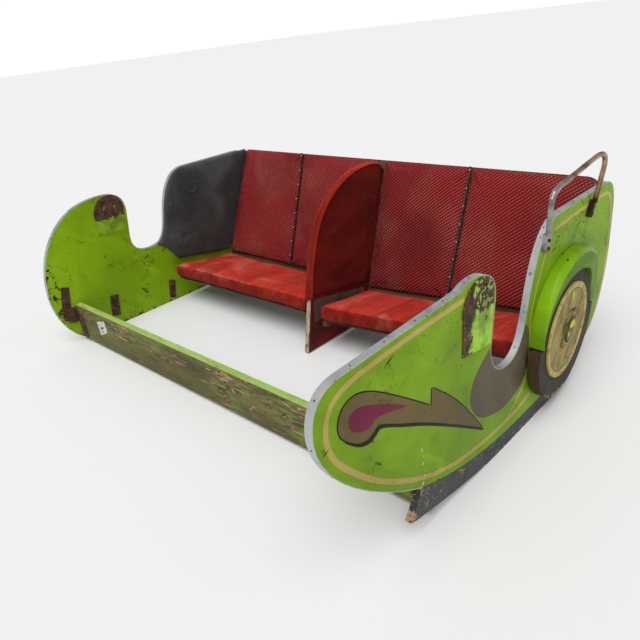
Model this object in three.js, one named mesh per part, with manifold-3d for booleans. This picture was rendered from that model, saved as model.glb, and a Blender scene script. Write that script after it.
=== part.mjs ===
// A two-bay fairground ride car: two painted side panels on edge, joined by a low front
// board and an upholstered bench with a divider, and a dummy spare wheel on the right side.
// Millimetres. +X runs along the bench, +Y to the rear, +Z up. The floor is z = 0.

import * as THREE from 'three';
import * as BufferGeometryUtils from 'three/addons/utils/BufferGeometryUtils.js';
import Module from 'manifold-3d';

const wasm = await Module();
wasm.setup();

// ---- driving dimensions -------------------------------------------------------------------

const GAP = 0.3; // between pieces that touch
const CAR_WIDTH = 2148; // over the left panel and the wheel's face
const WHEEL_STANDOFF = 51; // the wheel's face outside the right panel
const BOARD = 22; // side panel thickness
const LEFT_OUT = -CAR_WIDTH / 2; // outer face of the left panel
const LEFT_IN = LEFT_OUT + BOARD;
const RIGHT_OUT = CAR_WIDTH / 2 - WHEEL_STANDOFF;
const RIGHT_IN = RIGHT_OUT - BOARD;

const TRIM = 2.2; // aluminium edging thickness
const PLATE = 4; // steel brackets and plates
const STRAP = 5;
const SCREW_RADIUS = 7; // heads on straps, angles and plates
const SCREW_TOP = 8; // of the heads above the wall under a strap

const RAIL_TOP = 704; // top edge of the panels' rear part
const SEAT_JOIN_Y = 512; // where the left squab's top meets the backrest
const SEAT_JOIN_Z = 147;
const RECLINE = THREE.MathUtils.degToRad(24.4); // backrest from vertical
const SEAT_RAKE = THREE.MathUtils.degToRad(9.6); // squabs fall to the rear
const PAD = 26; // back pads
const ARM_PAD = 14;
const THIN_PAD = 7; // the right arm pad
const BACK_BOARD = 12;
const BACK_HEIGHT = 612; // up the slope
const SQUAB_BOARD = 8; // under the cushion and set in from its edges
const SQUAB = 76; // board and cushion together

const WHEEL_X = RIGHT_OUT + 41; // face of the wheel's disc at its centre
const WHEEL_Y = 359;
const WHEEL_Z = 296;
const WHEEL_YAW = THREE.MathUtils.degToRad(3.9); // the wheel faces a little rearward and down
const WHEEL_NOD = THREE.MathUtils.degToRad(1.6);
const RIM_RADIUS = 167;
const TYRE = { y: 19, z: -13, radius: 240, thick: 34, tucked: 214 }; // from the rim's centre
const HANDLE_RADIUS = 8.5;

const MUDGUARD = {
  y: 411, z: 316, radius: 246, // outer arc
  inner: 219, // about the tyre's centre
  from: THREE.MathUtils.degToRad(3),
  to: THREE.MathUtils.degToRad(172),
  face: RIGHT_OUT + 50, // at the front and over the top
  rearFace: RIGHT_OUT + 14, // its rear end runs in towards the panel
  full: THREE.MathUtils.degToRad(75),
};

// ---- materials ----------------------------------------------------------------------------

const finish = (color, roughness, metalness) =>
  () => new THREE.MeshStandardMaterial({ color, roughness, metalness });

const greenPaint = finish(0x7ea01a, 0.5, 0);
const limePaint = finish(0x8fc60e, 0.45, 0);
const aluminium = finish(0xc9cbcc, 0.45, 1);
const rustySteel = finish(0x4a2f22, 0.8, 0.5);
const bareWood = finish(0xb79b6b, 0.8, 0);
const wornPlank = finish(0x6b6b2a, 0.8, 0);
const blackPaint = finish(0x1e2024, 0.6, 0);
const tyrePaint = finish(0x3e4036, 0.6, 0);
const creamPaint = finish(0x8c7b3a, 0.55, 0);
const redMoquette = finish(0xa8323a, 0.95, 0);
const redVelvet = finish(0xc0392b, 0.9, 0);
const darkVelvet = finish(0x4a0808, 0.9, 0);
const greyMoquette = finish(0x3a3a38, 0.95, 0);
const bronzedSteel = finish(0x8a7460, 0.45, 0.9);

// ---- shapes -------------------------------------------------------------------------------

const car = new THREE.Group();

function addPart(name, geometry, material, group = car) {
  const mesh = new THREE.Mesh(geometry, material());
  mesh.name = name;
  group.add(mesh);
  return mesh;
}

// Shapes of upright boards are drawn as (y, z) and grow along +x.
const ON_EDGE = new THREE.Matrix4().makeBasis(
  new THREE.Vector3(0, 1, 0),
  new THREE.Vector3(0, 0, 1),
  new THREE.Vector3(1, 0, 0),
);

function upright(shape, x0, x1, curveSegments = 12) {
  const geometry = new THREE.ExtrudeGeometry(shape, {
    depth: x1 - x0,
    bevelEnabled: false,
    curveSegments,
  });
  geometry.applyMatrix4(ON_EDGE);
  geometry.translate(x0, 0, 0);
  return geometry;
}

function polygon(...points) {
  return new THREE.Shape(points.map(([u, v]) => new THREE.Vector2(u, v)));
}

function box(x0, x1, y0, y1, z0, z1) {
  const geometry = new THREE.BoxGeometry(x1 - x0, y1 - y0, z1 - z0);
  geometry.translate((x0 + x1) / 2, (y0 + y1) / 2, (z0 + z1) / 2);
  return geometry;
}

// A soft block: a polygon drawn in its own plane, with rounded edges all round.
function padding(shape, thickness, round) {
  const geometry = new THREE.ExtrudeGeometry(shape, {
    depth: thickness - 2 * round,
    bevelThickness: round,
    bevelSize: round,
    bevelOffset: -round,
    bevelSegments: 3,
    curveSegments: 8,
  });
  geometry.translate(0, 0, round);
  return geometry;
}

// A closed body through rings of the same number of points, with flat ends.
function loft(rings) {
  const count = rings[0].length;
  const points = rings.flat();
  const faces = [];
  for (let r = 0; r + 1 < rings.length; r += 1) {
    for (let i = 0; i < count; i += 1) {
      const [a, b] = [r * count + i, r * count + ((i + 1) % count)];
      faces.push(a, b, a + count, b, b + count, a + count);
    }
  }
  const last = (rings.length - 1) * count;
  for (let i = 1; i + 1 < count; i += 1) {
    faces.push(0, i + 1, i, last, last + i, last + i + 1);
  }
  const geometry = new THREE.BufferGeometry().setFromPoints(points);
  geometry.setIndex(faces);
  return geometry;
}

function solid(geometry) {
  const bare = geometry.index ? geometry.clone() : geometry;
  bare.deleteAttribute('normal');
  bare.deleteAttribute('uv');
  const merged = BufferGeometryUtils.mergeVertices(bare, 1e-4);
  return new wasm.Manifold(new wasm.Mesh({
    numProp: 3,
    vertProperties: new Float32Array(merged.attributes.position.array),
    triVerts: new Uint32Array(merged.index.array),
  }));
}

function geometryOf(manifold) {
  const { vertProperties, triVerts } = manifold.getMesh();
  const geometry = new THREE.BufferGeometry();
  geometry.setAttribute('position', new THREE.BufferAttribute(vertProperties, 3));
  geometry.setIndex(new THREE.BufferAttribute(triVerts, 1));
  const flat = geometry.toNonIndexed();
  flat.computeVertexNormals();
  return flat;
}

function join(geometries) {
  return geometryOf(geometries.map(solid).reduce((sum, next) => sum.add(next)));
}

function cut(geometry, tools) {
  return geometryOf(tools.map(solid).reduce((rest, tool) => rest.subtract(tool), solid(geometry)));
}

// A round pin or hole along x, from x0 to x1.
function pinX(radius, x0, x1, y, z, segments = 14) {
  const geometry = new THREE.CylinderGeometry(radius, radius, x1 - x0, segments);
  geometry.rotateZ(-Math.PI / 2);
  geometry.translate((x0 + x1) / 2, y, z);
  return geometry;
}

// The x limits of a layer on a wall, between two distances inward of it.
function layer(wall, inward, near, far) {
  return [wall + inward * near, wall + inward * far].sort((a, b) => a - b);
}

// ---- outlines of the side panels, as (y, z) -----------------------------------------------

function notchAndRear(path, notchFloor) {
  path.bezierCurveTo(-70, 646, -52, 620, -57, 566);
  path.lineTo(-75, 430);
  path.bezierCurveTo(-80, 372, -45, notchFloor, 26, notchFloor);
  path.bezierCurveTo(98, notchFloor, 122, 372, 142, 453);
  path.bezierCurveTo(160, 522, 188, 655, 275, 694);
  path.quadraticCurveTo(298, RAIL_TOP, 330, RAIL_TOP);
  path.lineTo(690, RAIL_TOP);
  path.bezierCurveTo(745, RAIL_TOP, 766, 655, 770, 600);
  path.lineTo(772, 451);
  path.bezierCurveTo(770, 370, 745, 225, 669, 161);
}

// The right panel has the long nose.
function rightOutline() {
  const path = new THREE.Shape();
  path.moveTo(-421, 162);
  path.bezierCurveTo(-560, 235, -770, 400, -776, 540);
  path.bezierCurveTo(-778, 610, -745, 652, -682, 653);
  path.lineTo(-235, 661);
  path.bezierCurveTo(-200, 678, -150, 681, -108, 662);
  notchAndRear(path, 314);
  return path;
}

// The left panel has the short round nose and reaches the floor.
function leftOutline() {
  const path = new THREE.Shape();
  path.moveTo(-445, 14);
  path.bezierCurveTo(-530, 70, -556, 180, -554, 271);
  path.bezierCurveTo(-548, 420, -480, 570, -332, 643);
  path.bezierCurveTo(-265, 670, -165, 682, -108, 662);
  notchAndRear(path, 338);
  return path;
}

const OUTLINE_STEPS = 14;

// An outline's points, moved out along their normals where distance is positive.
function offsetPoints(path, distance) {
  const points = path.getPoints(OUTLINE_STEPS);
  return points.map((point, i) => {
    const before = points[Math.max(i - 1, 0)];
    const after = points[Math.min(i + 1, points.length - 1)];
    const along = after.clone().sub(before).normalize();
    return new THREE.Vector2(point.x - along.y * distance, point.y + along.x * distance);
  });
}

// A thin strip that lies along an outline.
function strip(path, inner, outer) {
  return new THREE.Shape([...offsetPoints(path, inner), ...offsetPoints(path, outer).reverse()]);
}

function sidePanels() {
  const right = rightOutline();
  right.bezierCurveTo(590, 95, 450, 60, 300, 60);
  right.lineTo(126, 59);
  right.bezierCurveTo(-60, 59, -250, 85, -421, 162);
  addPart('side_panel_right', upright(right, RIGHT_IN, RIGHT_OUT, OUTLINE_STEPS), greenPaint);

  const left = leftOutline();
  left.bezierCurveTo(600, 90, 520, 0, 420, 0);
  left.lineTo(-425, 0);
  left.lineTo(-445, 14);
  addPart('side_panel_left', upright(left, LEFT_OUT, LEFT_IN, OUTLINE_STEPS), greenPaint);

  const sides = [['right', rightOutline(), RIGHT_IN], ['left', leftOutline(), LEFT_OUT]];
  for (const [side, path, x] of sides) {
    const edging = strip(path, GAP, GAP + TRIM);
    addPart(`edge_trim_${side}`, upright(edging, x, x + BOARD), aluminium);
  }
}

// The black runner under the right panel turns up at the front.
function skid() {
  const shape = new THREE.Shape();
  shape.moveTo(-416, 159);
  shape.bezierCurveTo(-250, 84, -60, 59 - GAP, 126, 59 - GAP);
  shape.lineTo(300, 60 - GAP);
  shape.bezierCurveTo(400, 60 - GAP, 480, 72, 545, 95);
  shape.lineTo(530, 40);
  shape.quadraticCurveTo(490, 0, 420, 0);
  shape.lineTo(20, 0);
  shape.bezierCurveTo(-120, 2, -300, 30, -478, 71);
  shape.lineTo(-416, 159);
  addPart('skid_right', upright(shape, RIGHT_IN, RIGHT_OUT), blackPaint);
}

// ---- wheel, mudguard and grab handle on the right panel -------------------------------------

// A flat disc of dark board for the tyre, with a round rim, a slanting oval hub and its cap on
// its face. The tyre's disc is cut back where it tucks inside the mudguard.
function wheel() {
  const tilted = new THREE.Group();
  tilted.position.set(WHEEL_X, WHEEL_Y, WHEEL_Z);
  tilted.rotation.order = 'ZYX';
  tilted.rotation.set(0, WHEEL_NOD, WHEEL_YAW);
  tilted.updateMatrix();
  car.add(tilted);

  const tyre = new THREE.Shape();
  const clearance = 0.03; // radians, beyond each end of the mudguard
  const [from, to] = [MUDGUARD.from - clearance, MUDGUARD.to + clearance];
  tyre.absarc(TYRE.y, TYRE.z, TYRE.radius, from, to, true);
  tyre.absarc(TYRE.y, TYRE.z, TYRE.tucked, to, from, true);
  const face = -6;
  const disc = upright(tyre, face - TYRE.thick, face, 40);
  const toWheel = tilted.matrix.clone().invert();
  const wall = box(RIGHT_IN, RIGHT_OUT + GAP, -100, 900, -100, 900).applyMatrix4(toWheel);
  addPart('wheel_tyre', cut(disc, [wall]), tyrePaint, tilted);

  const lip = 2.5;
  const rim = new THREE.LatheGeometry([
    [0, face + GAP], [RIM_RADIUS, face + GAP], [RIM_RADIUS, lip - 1], [RIM_RADIUS - 2, lip],
    [RIM_RADIUS - 9, lip], [RIM_RADIUS - 12, 0], [0, 0],
  ].map(([radius, x]) => new THREE.Vector2(radius, x)), 64);
  rim.rotateZ(-Math.PI / 2);
  addPart('wheel_rim', rim, creamPaint, tilted);

  const slant = THREE.MathUtils.degToRad(42);
  const oval = (long, short) => {
    const shape = new THREE.Shape();
    shape.absellipse(8, 4, long, short, 0, Math.PI * 2, false, slant);
    return shape;
  };
  addPart('wheel_hub', upright(oval(76, 38), GAP, 4, 20), creamPaint, tilted);
  addPart('wheel_cap', upright(oval(44, 20), 4 + GAP, 9, 20), limePaint, tilted);
}

// A crescent between two arcs that are not on one centre, widest at the rear, with a round
// outer edge. Each section is cut along a radius of the inner arc.
function mudguard() {
  const centre = { y: WHEEL_Y + TYRE.y, z: WHEEL_Z + TYRE.z };
  const offset = { y: MUDGUARD.y - centre.y, z: MUDGUARD.z - centre.z };
  const wall = RIGHT_OUT + GAP;
  const sections = [];
  const steps = 44;
  for (let i = 0; i <= steps; i += 1) {
    const angle = THREE.MathUtils.lerp(MUDGUARD.to, MUDGUARD.from, i / steps);
    const [cosine, sine] = [Math.cos(angle), Math.sin(angle)];
    const along = offset.y * cosine + offset.z * sine;
    const across = offset.y * sine - offset.z * cosine;
    const outer = along + Math.sqrt(MUDGUARD.radius ** 2 - across ** 2);
    const round = Math.min(22, (outer - MUDGUARD.inner) * 0.6);
    const rearward = THREE.MathUtils.smoothstep(angle, MUDGUARD.from, MUDGUARD.full);
    const face = THREE.MathUtils.lerp(MUDGUARD.rearFace, MUDGUARD.face, rearward);
    const ring = [[MUDGUARD.inner, wall], [outer, wall]];
    for (const turn of [0, 0.25, 0.5, 0.75, 1]) {
      const a = (turn * Math.PI) / 2;
      ring.push([
        outer - round * (1 - Math.cos(a)),
        face - round * (1 - Math.sin(a)),
      ]);
    }
    ring.push([MUDGUARD.inner, face]);
    sections.push(ring.map(([radius, x]) => (
      new THREE.Vector3(x, centre.y + radius * cosine, centre.z + radius * sine)
    )));
  }
  addPart('mudguard', loft(sections), limePaint);
}

// The bent tube stands clear of the panel and its flattened feet lie on the panel's face.
function grabHandle() {
  const x = RIGHT_OUT + HANDLE_RADIUS + 6;
  const bend = (y, z) => new THREE.Vector3(x, y, z);
  const feet = [
    { end: 'front', y: 221, z: 664, lean: 0 },
    { end: 'rear', y: 550, z: 676, lean: THREE.MathUtils.degToRad(26) },
  ];
  const [front, rear] = feet;
  const route = new THREE.CurvePath();
  route.add(new THREE.LineCurve3(bend(front.y, front.z), bend(222, 745)));
  route.add(new THREE.CubicBezierCurve3(bend(222, 745), bend(223, 785), bend(240, 794), bend(275, 802)));
  route.add(new THREE.LineCurve3(bend(275, 802), bend(520, 829)));
  route.add(new THREE.CubicBezierCurve3(bend(520, 829), bend(600, 837), bend(616, 812), bend(598, 772)));
  route.add(new THREE.LineCurve3(bend(598, 772), bend(rear.y, rear.z)));
  const section = new THREE.Shape();
  section.absarc(0, 0, HANDLE_RADIUS, 0, Math.PI * 2);
  const tube = new THREE.ExtrudeGeometry(section, { steps: 64, curveSegments: 6, extrudePath: route });
  const plates = feet.map(({ y, z, lean }) => {
    const plate = box(RIGHT_OUT + GAP, x + 2, -9, 9, -48, 8);
    plate.rotateX(-lean);
    plate.translate(0, y, z);
    return plate;
  });
  addPart('grab_handle', join([tube, ...plates]), bronzedSteel);
  for (const { end, y, z, lean } of feet) {
    for (const [place, step] of [['upper', 11], ['lower', 36]]) {
      const bolt = pinX(
        5.5, x + 2 + GAP, x + 6, y - Math.sin(lean) * step, z - Math.cos(lean) * step, 6,
      );
      addPart(`handle_bolt_${end}_${place}`, bolt, rustySteel);
    }
  }
}

// ---- safety bar pivot plates ----------------------------------------------------------------

// The plate fits under the rounded top of the panel's front part, with rivets and two bores.
function pivotPlate(name, x0, x1, corners, rivets, bores, rivetTop) {
  const [frontFoot, frontTop, crown, rearTop, rearFoot] = corners;
  const shape = new THREE.Shape();
  shape.moveTo(...frontFoot);
  shape.lineTo(...frontTop);
  shape.quadraticCurveTo(...crown[0], ...crown[1]);
  shape.quadraticCurveTo(...crown[2], ...rearTop);
  shape.lineTo(...rearFoot);
  const plate = upright(shape, x0, x1, 8);
  const [headStart, headEnd] = rivetTop;
  const heads = rivets.map(([y, z]) => pinX(SCREW_RADIUS, headStart, headEnd, y, z, 10));
  const holes = bores.map(([y, z]) => pinX(8, x0 - 5, x1 + 5, y, z));
  addPart(name, geometryOf(
    holes.map(solid).reduce((rest, hole) => rest.subtract(hole), solid(join([plate, ...heads]))),
  ), rustySteel);
}

function pivotPlates() {
  const crown = [[-196, 668], [-140, 668], [-72, 664]];
  pivotPlate(
    'bar_plate_left', LEFT_IN + GAP, LEFT_IN + GAP + PLATE,
    [[-236, 486], [-226, 600], crown, [-66, 596], [-88, 476]],
    [[-216, 505], [-212, 590], [-190, 628], [-122, 650], [-88, 610], [-104, 495], [-215, 548]],
    [[-165, 612], [-112, 605]],
    [LEFT_IN + GAP + PLATE / 2, LEFT_IN + GAP + PLATE + 3],
  );
  pivotPlate(
    'bar_plate_right', RIGHT_OUT + GAP, RIGHT_OUT + GAP + PLATE,
    [[-226, 468], [-222, 610], crown, [-68, 600], [-84, 446]],
    [[-206, 488], [-206, 600], [-180, 640], [-118, 650], [-88, 600], [-102, 470], [-150, 590]],
    [[-172, 560], [-112, 540]],
    [RIGHT_OUT + GAP + PLATE / 2, RIGHT_OUT + GAP + PLATE + 3],
  );
}

// ---- front board and its fastenings -----------------------------------------------------------

const PLANK_HEIGHT = 184;
const PLANK_FOOT = 14;
const PLANK_THICK = 30;
const PLANK_FRONT_LEFT = -450; // y of its front face at each panel: the board is out of square
const PLANK_FRONT_RIGHT = -366;
const PLANK_SKEW = Math.atan2(PLANK_FRONT_RIGHT - PLANK_FRONT_LEFT, RIGHT_IN - LEFT_IN);

const ANGLE_REACH = 48; // of the front angles' leaves along the board

function plankFront(x) {
  const t = (x - LEFT_IN) / (RIGHT_IN - LEFT_IN);
  return THREE.MathUtils.lerp(PLANK_FRONT_LEFT, PLANK_FRONT_RIGHT, t);
}

// A flange on the panel that turns round the board's front face, all one forging.
function frontAngle(side, wall, inward) {
  const front = plankFront(wall);
  const flange = polygon(
    [front - 40, 304], [front - 3, 292], [front - 24, 190], [front - GAP, 184],
    [front - GAP, 112], [front - 31, 108], [front - 74, 139], [front - 70, 185],
  );
  const [leaf0, leaf1] = layer(0, inward, GAP, ANGLE_REACH);
  const leaf = box(leaf0, leaf1, -STRAP, 0, 20, 156);
  leaf.rotateZ(PLANK_SKEW);
  leaf.translate(wall, front - 2 * GAP, 0);
  const heads = [[-24, 278], [-42, 205], [-46, 148]].map(([dy, z]) => (
    pinX(SCREW_RADIUS, ...layer(wall, inward, GAP, SCREW_TOP), front + dy, z, 8)
  ));
  const plate = upright(flange, ...layer(wall, inward, GAP, GAP + STRAP));
  addPart(`front_angle_${side}`, join([plate, leaf, ...heads]), rustySteel);
}

function frontBoard() {
  const inset = 2 * GAP;
  const ends = [LEFT_IN + inset, RIGHT_IN - inset];
  const plan = polygon(
    [ends[0], plankFront(ends[0])], [ends[1], plankFront(ends[1])],
    [ends[1], plankFront(ends[1]) + PLANK_THICK], [ends[0], plankFront(ends[0]) + PLANK_THICK],
  );
  const board = new THREE.ExtrudeGeometry(plan, { depth: PLANK_HEIGHT, bevelEnabled: false });
  board.translate(0, 0, PLANK_FOOT);
  addPart('front_board', board, wornPlank);

  frontAngle('left', LEFT_IN, 1);
  frontAngle('right', RIGHT_IN, -1);

  // A thin diamond plate with a bolt through it, low on the front face near the left end.
  const plateX = LEFT_IN + 237;
  const onBoard = new THREE.Group();
  onBoard.position.set(plateX, plankFront(plateX) - GAP, PLANK_FOOT + 114);
  onBoard.rotation.z = PLANK_SKEW;
  const diamond = polygon([-43, 21], [38, 47], [40, -17], [-35, -49]);
  const plate = new THREE.ExtrudeGeometry(diamond, { depth: 2, bevelEnabled: false });
  plate.rotateX(Math.PI / 2);
  addPart('plank_plate', plate, aluminium, onBoard);
  const bolt = new THREE.CylinderGeometry(6, 6, 5, 12);
  bolt.translate(0, -2 - GAP - 2.5, 0);
  addPart('plank_bolt', bolt, rustySteel, onBoard);
  car.add(onBoard);
}

// Straight straps screwed to the panels' inner faces. The right squab sits higher at its end
// than the left one, and its strap with it.
function straps() {
  const floorStrap = [[-267, 169], [-223, 162], [-240, 52], [-284, 59]];
  const seatStrap = [[80, 126], [118, 113], [98, 14], [64, 24]];
  const all = [
    { name: 'floor_strap_left', wall: LEFT_IN, inward: 1, corners: floorStrap, lift: 0 },
    { name: 'floor_strap_right', wall: RIGHT_IN, inward: -1, corners: floorStrap, lift: 0 },
    { name: 'seat_strap_left', wall: LEFT_IN, inward: 1, corners: seatStrap, lift: 0 },
    { name: 'seat_strap_right', wall: RIGHT_IN, inward: -1, corners: seatStrap, lift: 66 },
  ];
  for (const { name, wall, inward, corners, lift } of all) {
    const [a, b, c, d] = corners.map(([y, z]) => new THREE.Vector2(y + lift, z + lift));
    const [top, foot] = [a.add(b), c.add(d)].map((sum) => sum.clone().multiplyScalar(0.5));
    const heads = [0.2, 0.8].map((t) => {
      const { x: y, y: z } = top.clone().lerp(foot, t);
      return pinX(SCREW_RADIUS, ...layer(wall, inward, GAP, SCREW_TOP), y, z, 8);
    });
    const shape = polygon(...corners.map(([y, z]) => [y + lift, z + lift]));
    const strap = upright(shape, ...layer(wall, inward, GAP, GAP + STRAP));
    addPart(name, join([strap, ...heads]), rustySteel);
  }
}

// ---- divider ----------------------------------------------------------------------------------

const DIVIDER_FOOT_X = 44; // right face of the board at the floor
const DIVIDER_BOARD = 24;
const DIVIDER_PAD = 5;
const DIVIDER_ROLL = 10; // padded edge over the board's front and top
const DIVIDER_LEAN = THREE.MathUtils.degToRad(5.65); // the whole bench has racked to the left

// The padded edge, from the squabs' front corner up and back to the backrest.
function dividerEdge() {
  const path = new THREE.Path();
  path.moveTo(152, 236);
  path.bezierCurveTo(185, 345, 235, 490, 308, 570);
  path.bezierCurveTo(375, 645, 500, 716, 640, 716);
  path.bezierCurveTo(700, 716, 735, 706, 752, 686);
  return path;
}

function divider() {
  const leaning = new THREE.Group();
  leaning.position.set(DIVIDER_FOOT_X, 0, 0);
  leaning.rotation.y = -DIVIDER_LEAN;
  car.add(leaning);

  const underRoll = offsetPoints(dividerEdge(), -DIVIDER_ROLL - GAP);
  const top = underRoll.map(({ x, y }) => [x, y]);
  const board = polygon([88, 8], ...top, [768, 660], [527, 128], [478, 100]);
  board.quadraticCurveTo(470, 8, 400, 8);
  addPart('divider_board', upright(board, -DIVIDER_BOARD, 0), bareWood, leaning);

  // Upholstery on both faces, down to the squabs.
  const wide = DIVIDER_PAD + GAP;
  const pads = [
    ['left', -DIVIDER_BOARD - wide, [176, 262], [526, 198]],
    ['right', GAP, [170, 246], [520, 184]],
  ];
  for (const [side, x0, front, rear] of pads) {
    const shape = polygon(front, ...top.slice(2), rear);
    addPart(`divider_pad_${side}`, upright(shape, x0, x0 + DIVIDER_PAD), darkVelvet, leaning);
  }
  addPart('divider_edge_roll', upright(
    strip(dividerEdge(), -DIVIDER_ROLL, 0), -DIVIDER_BOARD - wide, wide,
  ), redVelvet, leaning);

  // Steel flanges along the squabs' ends.
  const flange = (rise) => polygon(
    [178, 232 + rise], [500, 170 + rise], [488, 108 + rise], [160, 132 + rise],
  );
  addPart('divider_flange_right', upright(flange(-6), GAP, GAP + 3), rustySteel, leaning);
  addPart('divider_flange_left', upright(
    flange(0), -DIVIDER_BOARD - GAP - 3, -DIVIDER_BOARD - GAP,
  ), rustySteel, leaning);
}

// ---- bench ------------------------------------------------------------------------------------

// Each squab is a padded board that drops in between a panel and the divider. Its group's
// origin is the rear left corner of its top; x runs along it and y falls to the rear.
const SQUABS = {
  left: {
    start: [LEFT_IN + 31, 508, 149], length: 999,
    depthLeft: 402, depthRight: 366, tilt: 1.2, yaw: 0.8,
  },
  right: {
    start: [40, 508, 151], length: 934,
    depthLeft: 348, depthRight: 346, tilt: 5.0, yaw: 2.4,
  },
};
const BEARER = { width: 24, height: 22 };

function bench() {
  for (const [side, squab] of Object.entries(SQUABS)) {
    const tilted = new THREE.Group();
    tilted.position.set(...squab.start);
    tilted.rotation.order = 'ZYX';
    tilted.rotation.set(
      -SEAT_RAKE,
      -THREE.MathUtils.degToRad(squab.tilt),
      THREE.MathUtils.degToRad(squab.yaw),
    );
    car.add(tilted);
    const plan = (inset) => polygon(
      [inset, -inset], [inset, -squab.depthLeft + inset],
      [squab.length - inset, -squab.depthRight + inset], [squab.length - inset, -inset],
    );
    const board = new THREE.ExtrudeGeometry(plan(24), { depth: SQUAB_BOARD, bevelEnabled: false });
    board.translate(0, 0, -SQUAB);
    addPart(`squab_board_${side}`, board, bareWood, tilted);
    const cushion = padding(plan(0), SQUAB - SQUAB_BOARD - GAP, 14);
    cushion.translate(0, 0, -SQUAB + SQUAB_BOARD + GAP);
    addPart(`squab_cushion_${side}`, cushion, redVelvet, tilted);
    for (const [end, x] of [['outer', side === 'left' ? 2 : squab.length - BEARER.width - 8],
      ['inner', side === 'left' ? squab.length - BEARER.width - 2 : 4]]) {
      const length = squab.depthRight - 40;
      const top = -SQUAB - GAP;
      const bearer = box(x, x + BEARER.width, -length - 14, -26, top - BEARER.height, top);
      addPart(`seat_bearer_${side}_${end}`, bearer, bareWood, tilted);
    }
  }
}

// ---- backrest -----------------------------------------------------------------------------------

const SHOULDER = { drop: 150, width: 84 }; // the backrest's right end is cut away at the top

function roundedShoulder(shape, x) {
  const bend = { drop: SHOULDER.drop * 0.45, width: SHOULDER.width * 0.35 };
  shape.lineTo(x, BACK_HEIGHT - SHOULDER.drop);
  shape.bezierCurveTo(
    x, BACK_HEIGHT - bend.drop, x - bend.width, BACK_HEIGHT, x - SHOULDER.width, BACK_HEIGHT,
  );
}

// Drawn in the backrest's own plane: x across, y up the slope, z out towards the sitter.
function backrest() {
  const sloping = new THREE.Group();
  sloping.position.set(0, SEAT_JOIN_Y, SEAT_JOIN_Z);
  sloping.rotation.x = Math.PI / 2 - RECLINE;
  car.add(sloping);

  // The bottom edge of the padding follows the squabs; the seams lean with the divider.
  const floor = (x) => (x < 20 ? 5 + (x - LEFT_IN) * 0.021 : 7 + (x - 20) * 0.09);
  const seams = [
    [LEFT_IN + 3, LEFT_IN + 3], [-514, -568], [2, -54], [36, -17], [470, 447],
    [RIGHT_IN - 3, RIGHT_IN - 3],
  ];
  const pads = [[0, 1], [1, 2], [3, 4], [4, 5]];
  const seamGap = 1;
  for (const [i, [from, to]] of pads.entries()) {
    const [left, right] = [seams[from], seams[to]];
    const shape = polygon(
      [left[0] + seamGap, floor(left[0])], [right[0] - seamGap, floor(right[0])],
    );
    if (to === seams.length - 1) {
      roundedShoulder(shape, right[1] - seamGap);
    } else {
      shape.lineTo(right[1] - seamGap, BACK_HEIGHT);
    }
    shape.lineTo(left[1] + seamGap, BACK_HEIGHT);
    const pad = padding(shape, PAD, 7);
    pad.translate(0, 0, -PAD);
    addPart(`back_pad_${i + 1}`, pad, redMoquette, sloping);
  }
  for (const [i, seam] of [[1, seams[1]], [2, seams[4]]]) {
    const half = 4.5;
    const [foot, head] = [floor(seam[0]) + 4, BACK_HEIGHT - 2];
    const cover = new THREE.ExtrudeGeometry(polygon(
      [seam[0] - half, foot], [seam[0] + half, foot], [seam[1] + half, head], [seam[1] - half, head],
    ), { depth: 2.5, bevelEnabled: false });
    cover.translate(0, 0, GAP);
    addPart(`back_strip_${i}`, cover, rustySteel, sloping);
  }

  const middle = -10;
  const boardBack = -PAD - GAP - BACK_BOARD;
  const foot = -26;
  const leftBoard = polygon(
    [LEFT_IN + 1, foot], [middle - GAP, foot], [middle - GAP, BACK_HEIGHT], [LEFT_IN + 1, BACK_HEIGHT],
  );
  const rightBoard = polygon([middle + GAP, foot], [RIGHT_IN - 1, foot]);
  roundedShoulder(rightBoard, RIGHT_IN - 1);
  rightBoard.lineTo(middle + GAP, BACK_HEIGHT);
  for (const [side, shape] of [['left', leftBoard], ['right', rightBoard]]) {
    const board = new THREE.ExtrudeGeometry(shape, { depth: BACK_BOARD, bevelEnabled: false });
    board.translate(0, 0, boardBack);
    addPart(`back_board_${side}`, board, bareWood, sloping);
  }
  const rail = { height: 48, thick: 24 };
  const rails = [
    ['bottom', -20, 1],
    ['middle', 270, 1],
    ['top', BACK_HEIGHT - rail.height, SHOULDER.width],
  ];
  for (const [level, y, short] of rails) {
    addPart(`back_rail_${level}`, box(
      LEFT_IN + 1, RIGHT_IN - short, y, y + rail.height, boardBack - GAP - rail.thick, boardBack - GAP,
    ), bareWood, sloping);
  }
}

// ---- arm pads -----------------------------------------------------------------------------------

// Charcoal cloth pads on the panels' inner faces, from the notch to the backrest. The right
// one is thin and stands back from the notch's edge.
function armPads() {
  const sides = [
    {
      side: 'left', span: [LEFT_IN + GAP, LEFT_IN + ARM_PAD], back: 0,
      foot: [[519, 165], [172, 228], [124, 301]],
    },
    {
      side: 'right', span: [RIGHT_IN - THIN_PAD, RIGHT_IN - GAP], back: 46,
      foot: [[550, 250], [202, 300]],
    },
  ];
  for (const { side, span, back, foot } of sides) {
    const top = RAIL_TOP - 3 - back / 2;
    const shape = new THREE.Shape();
    shape.moveTo(66 + back, 346);
    shape.bezierCurveTo(101 + back, 354, 121 + back, 390, 140 + back, 456);
    shape.bezierCurveTo(158 + back, 524, 190 + back, 652, 276 + back, top - 10);
    shape.quadraticCurveTo(299 + back, top, 330 + back, top);
    shape.lineTo(758, top);
    foot.forEach((corner) => shape.lineTo(...corner));
    addPart(`arm_pad_${side}`, upright(shape, ...span, 10), greyMoquette);
  }
}

sidePanels();
skid();
wheel();
mudguard();
grabHandle();
pivotPlates();
frontBoard();
straps();
divider();
bench();
backrest();
armPads();

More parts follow.
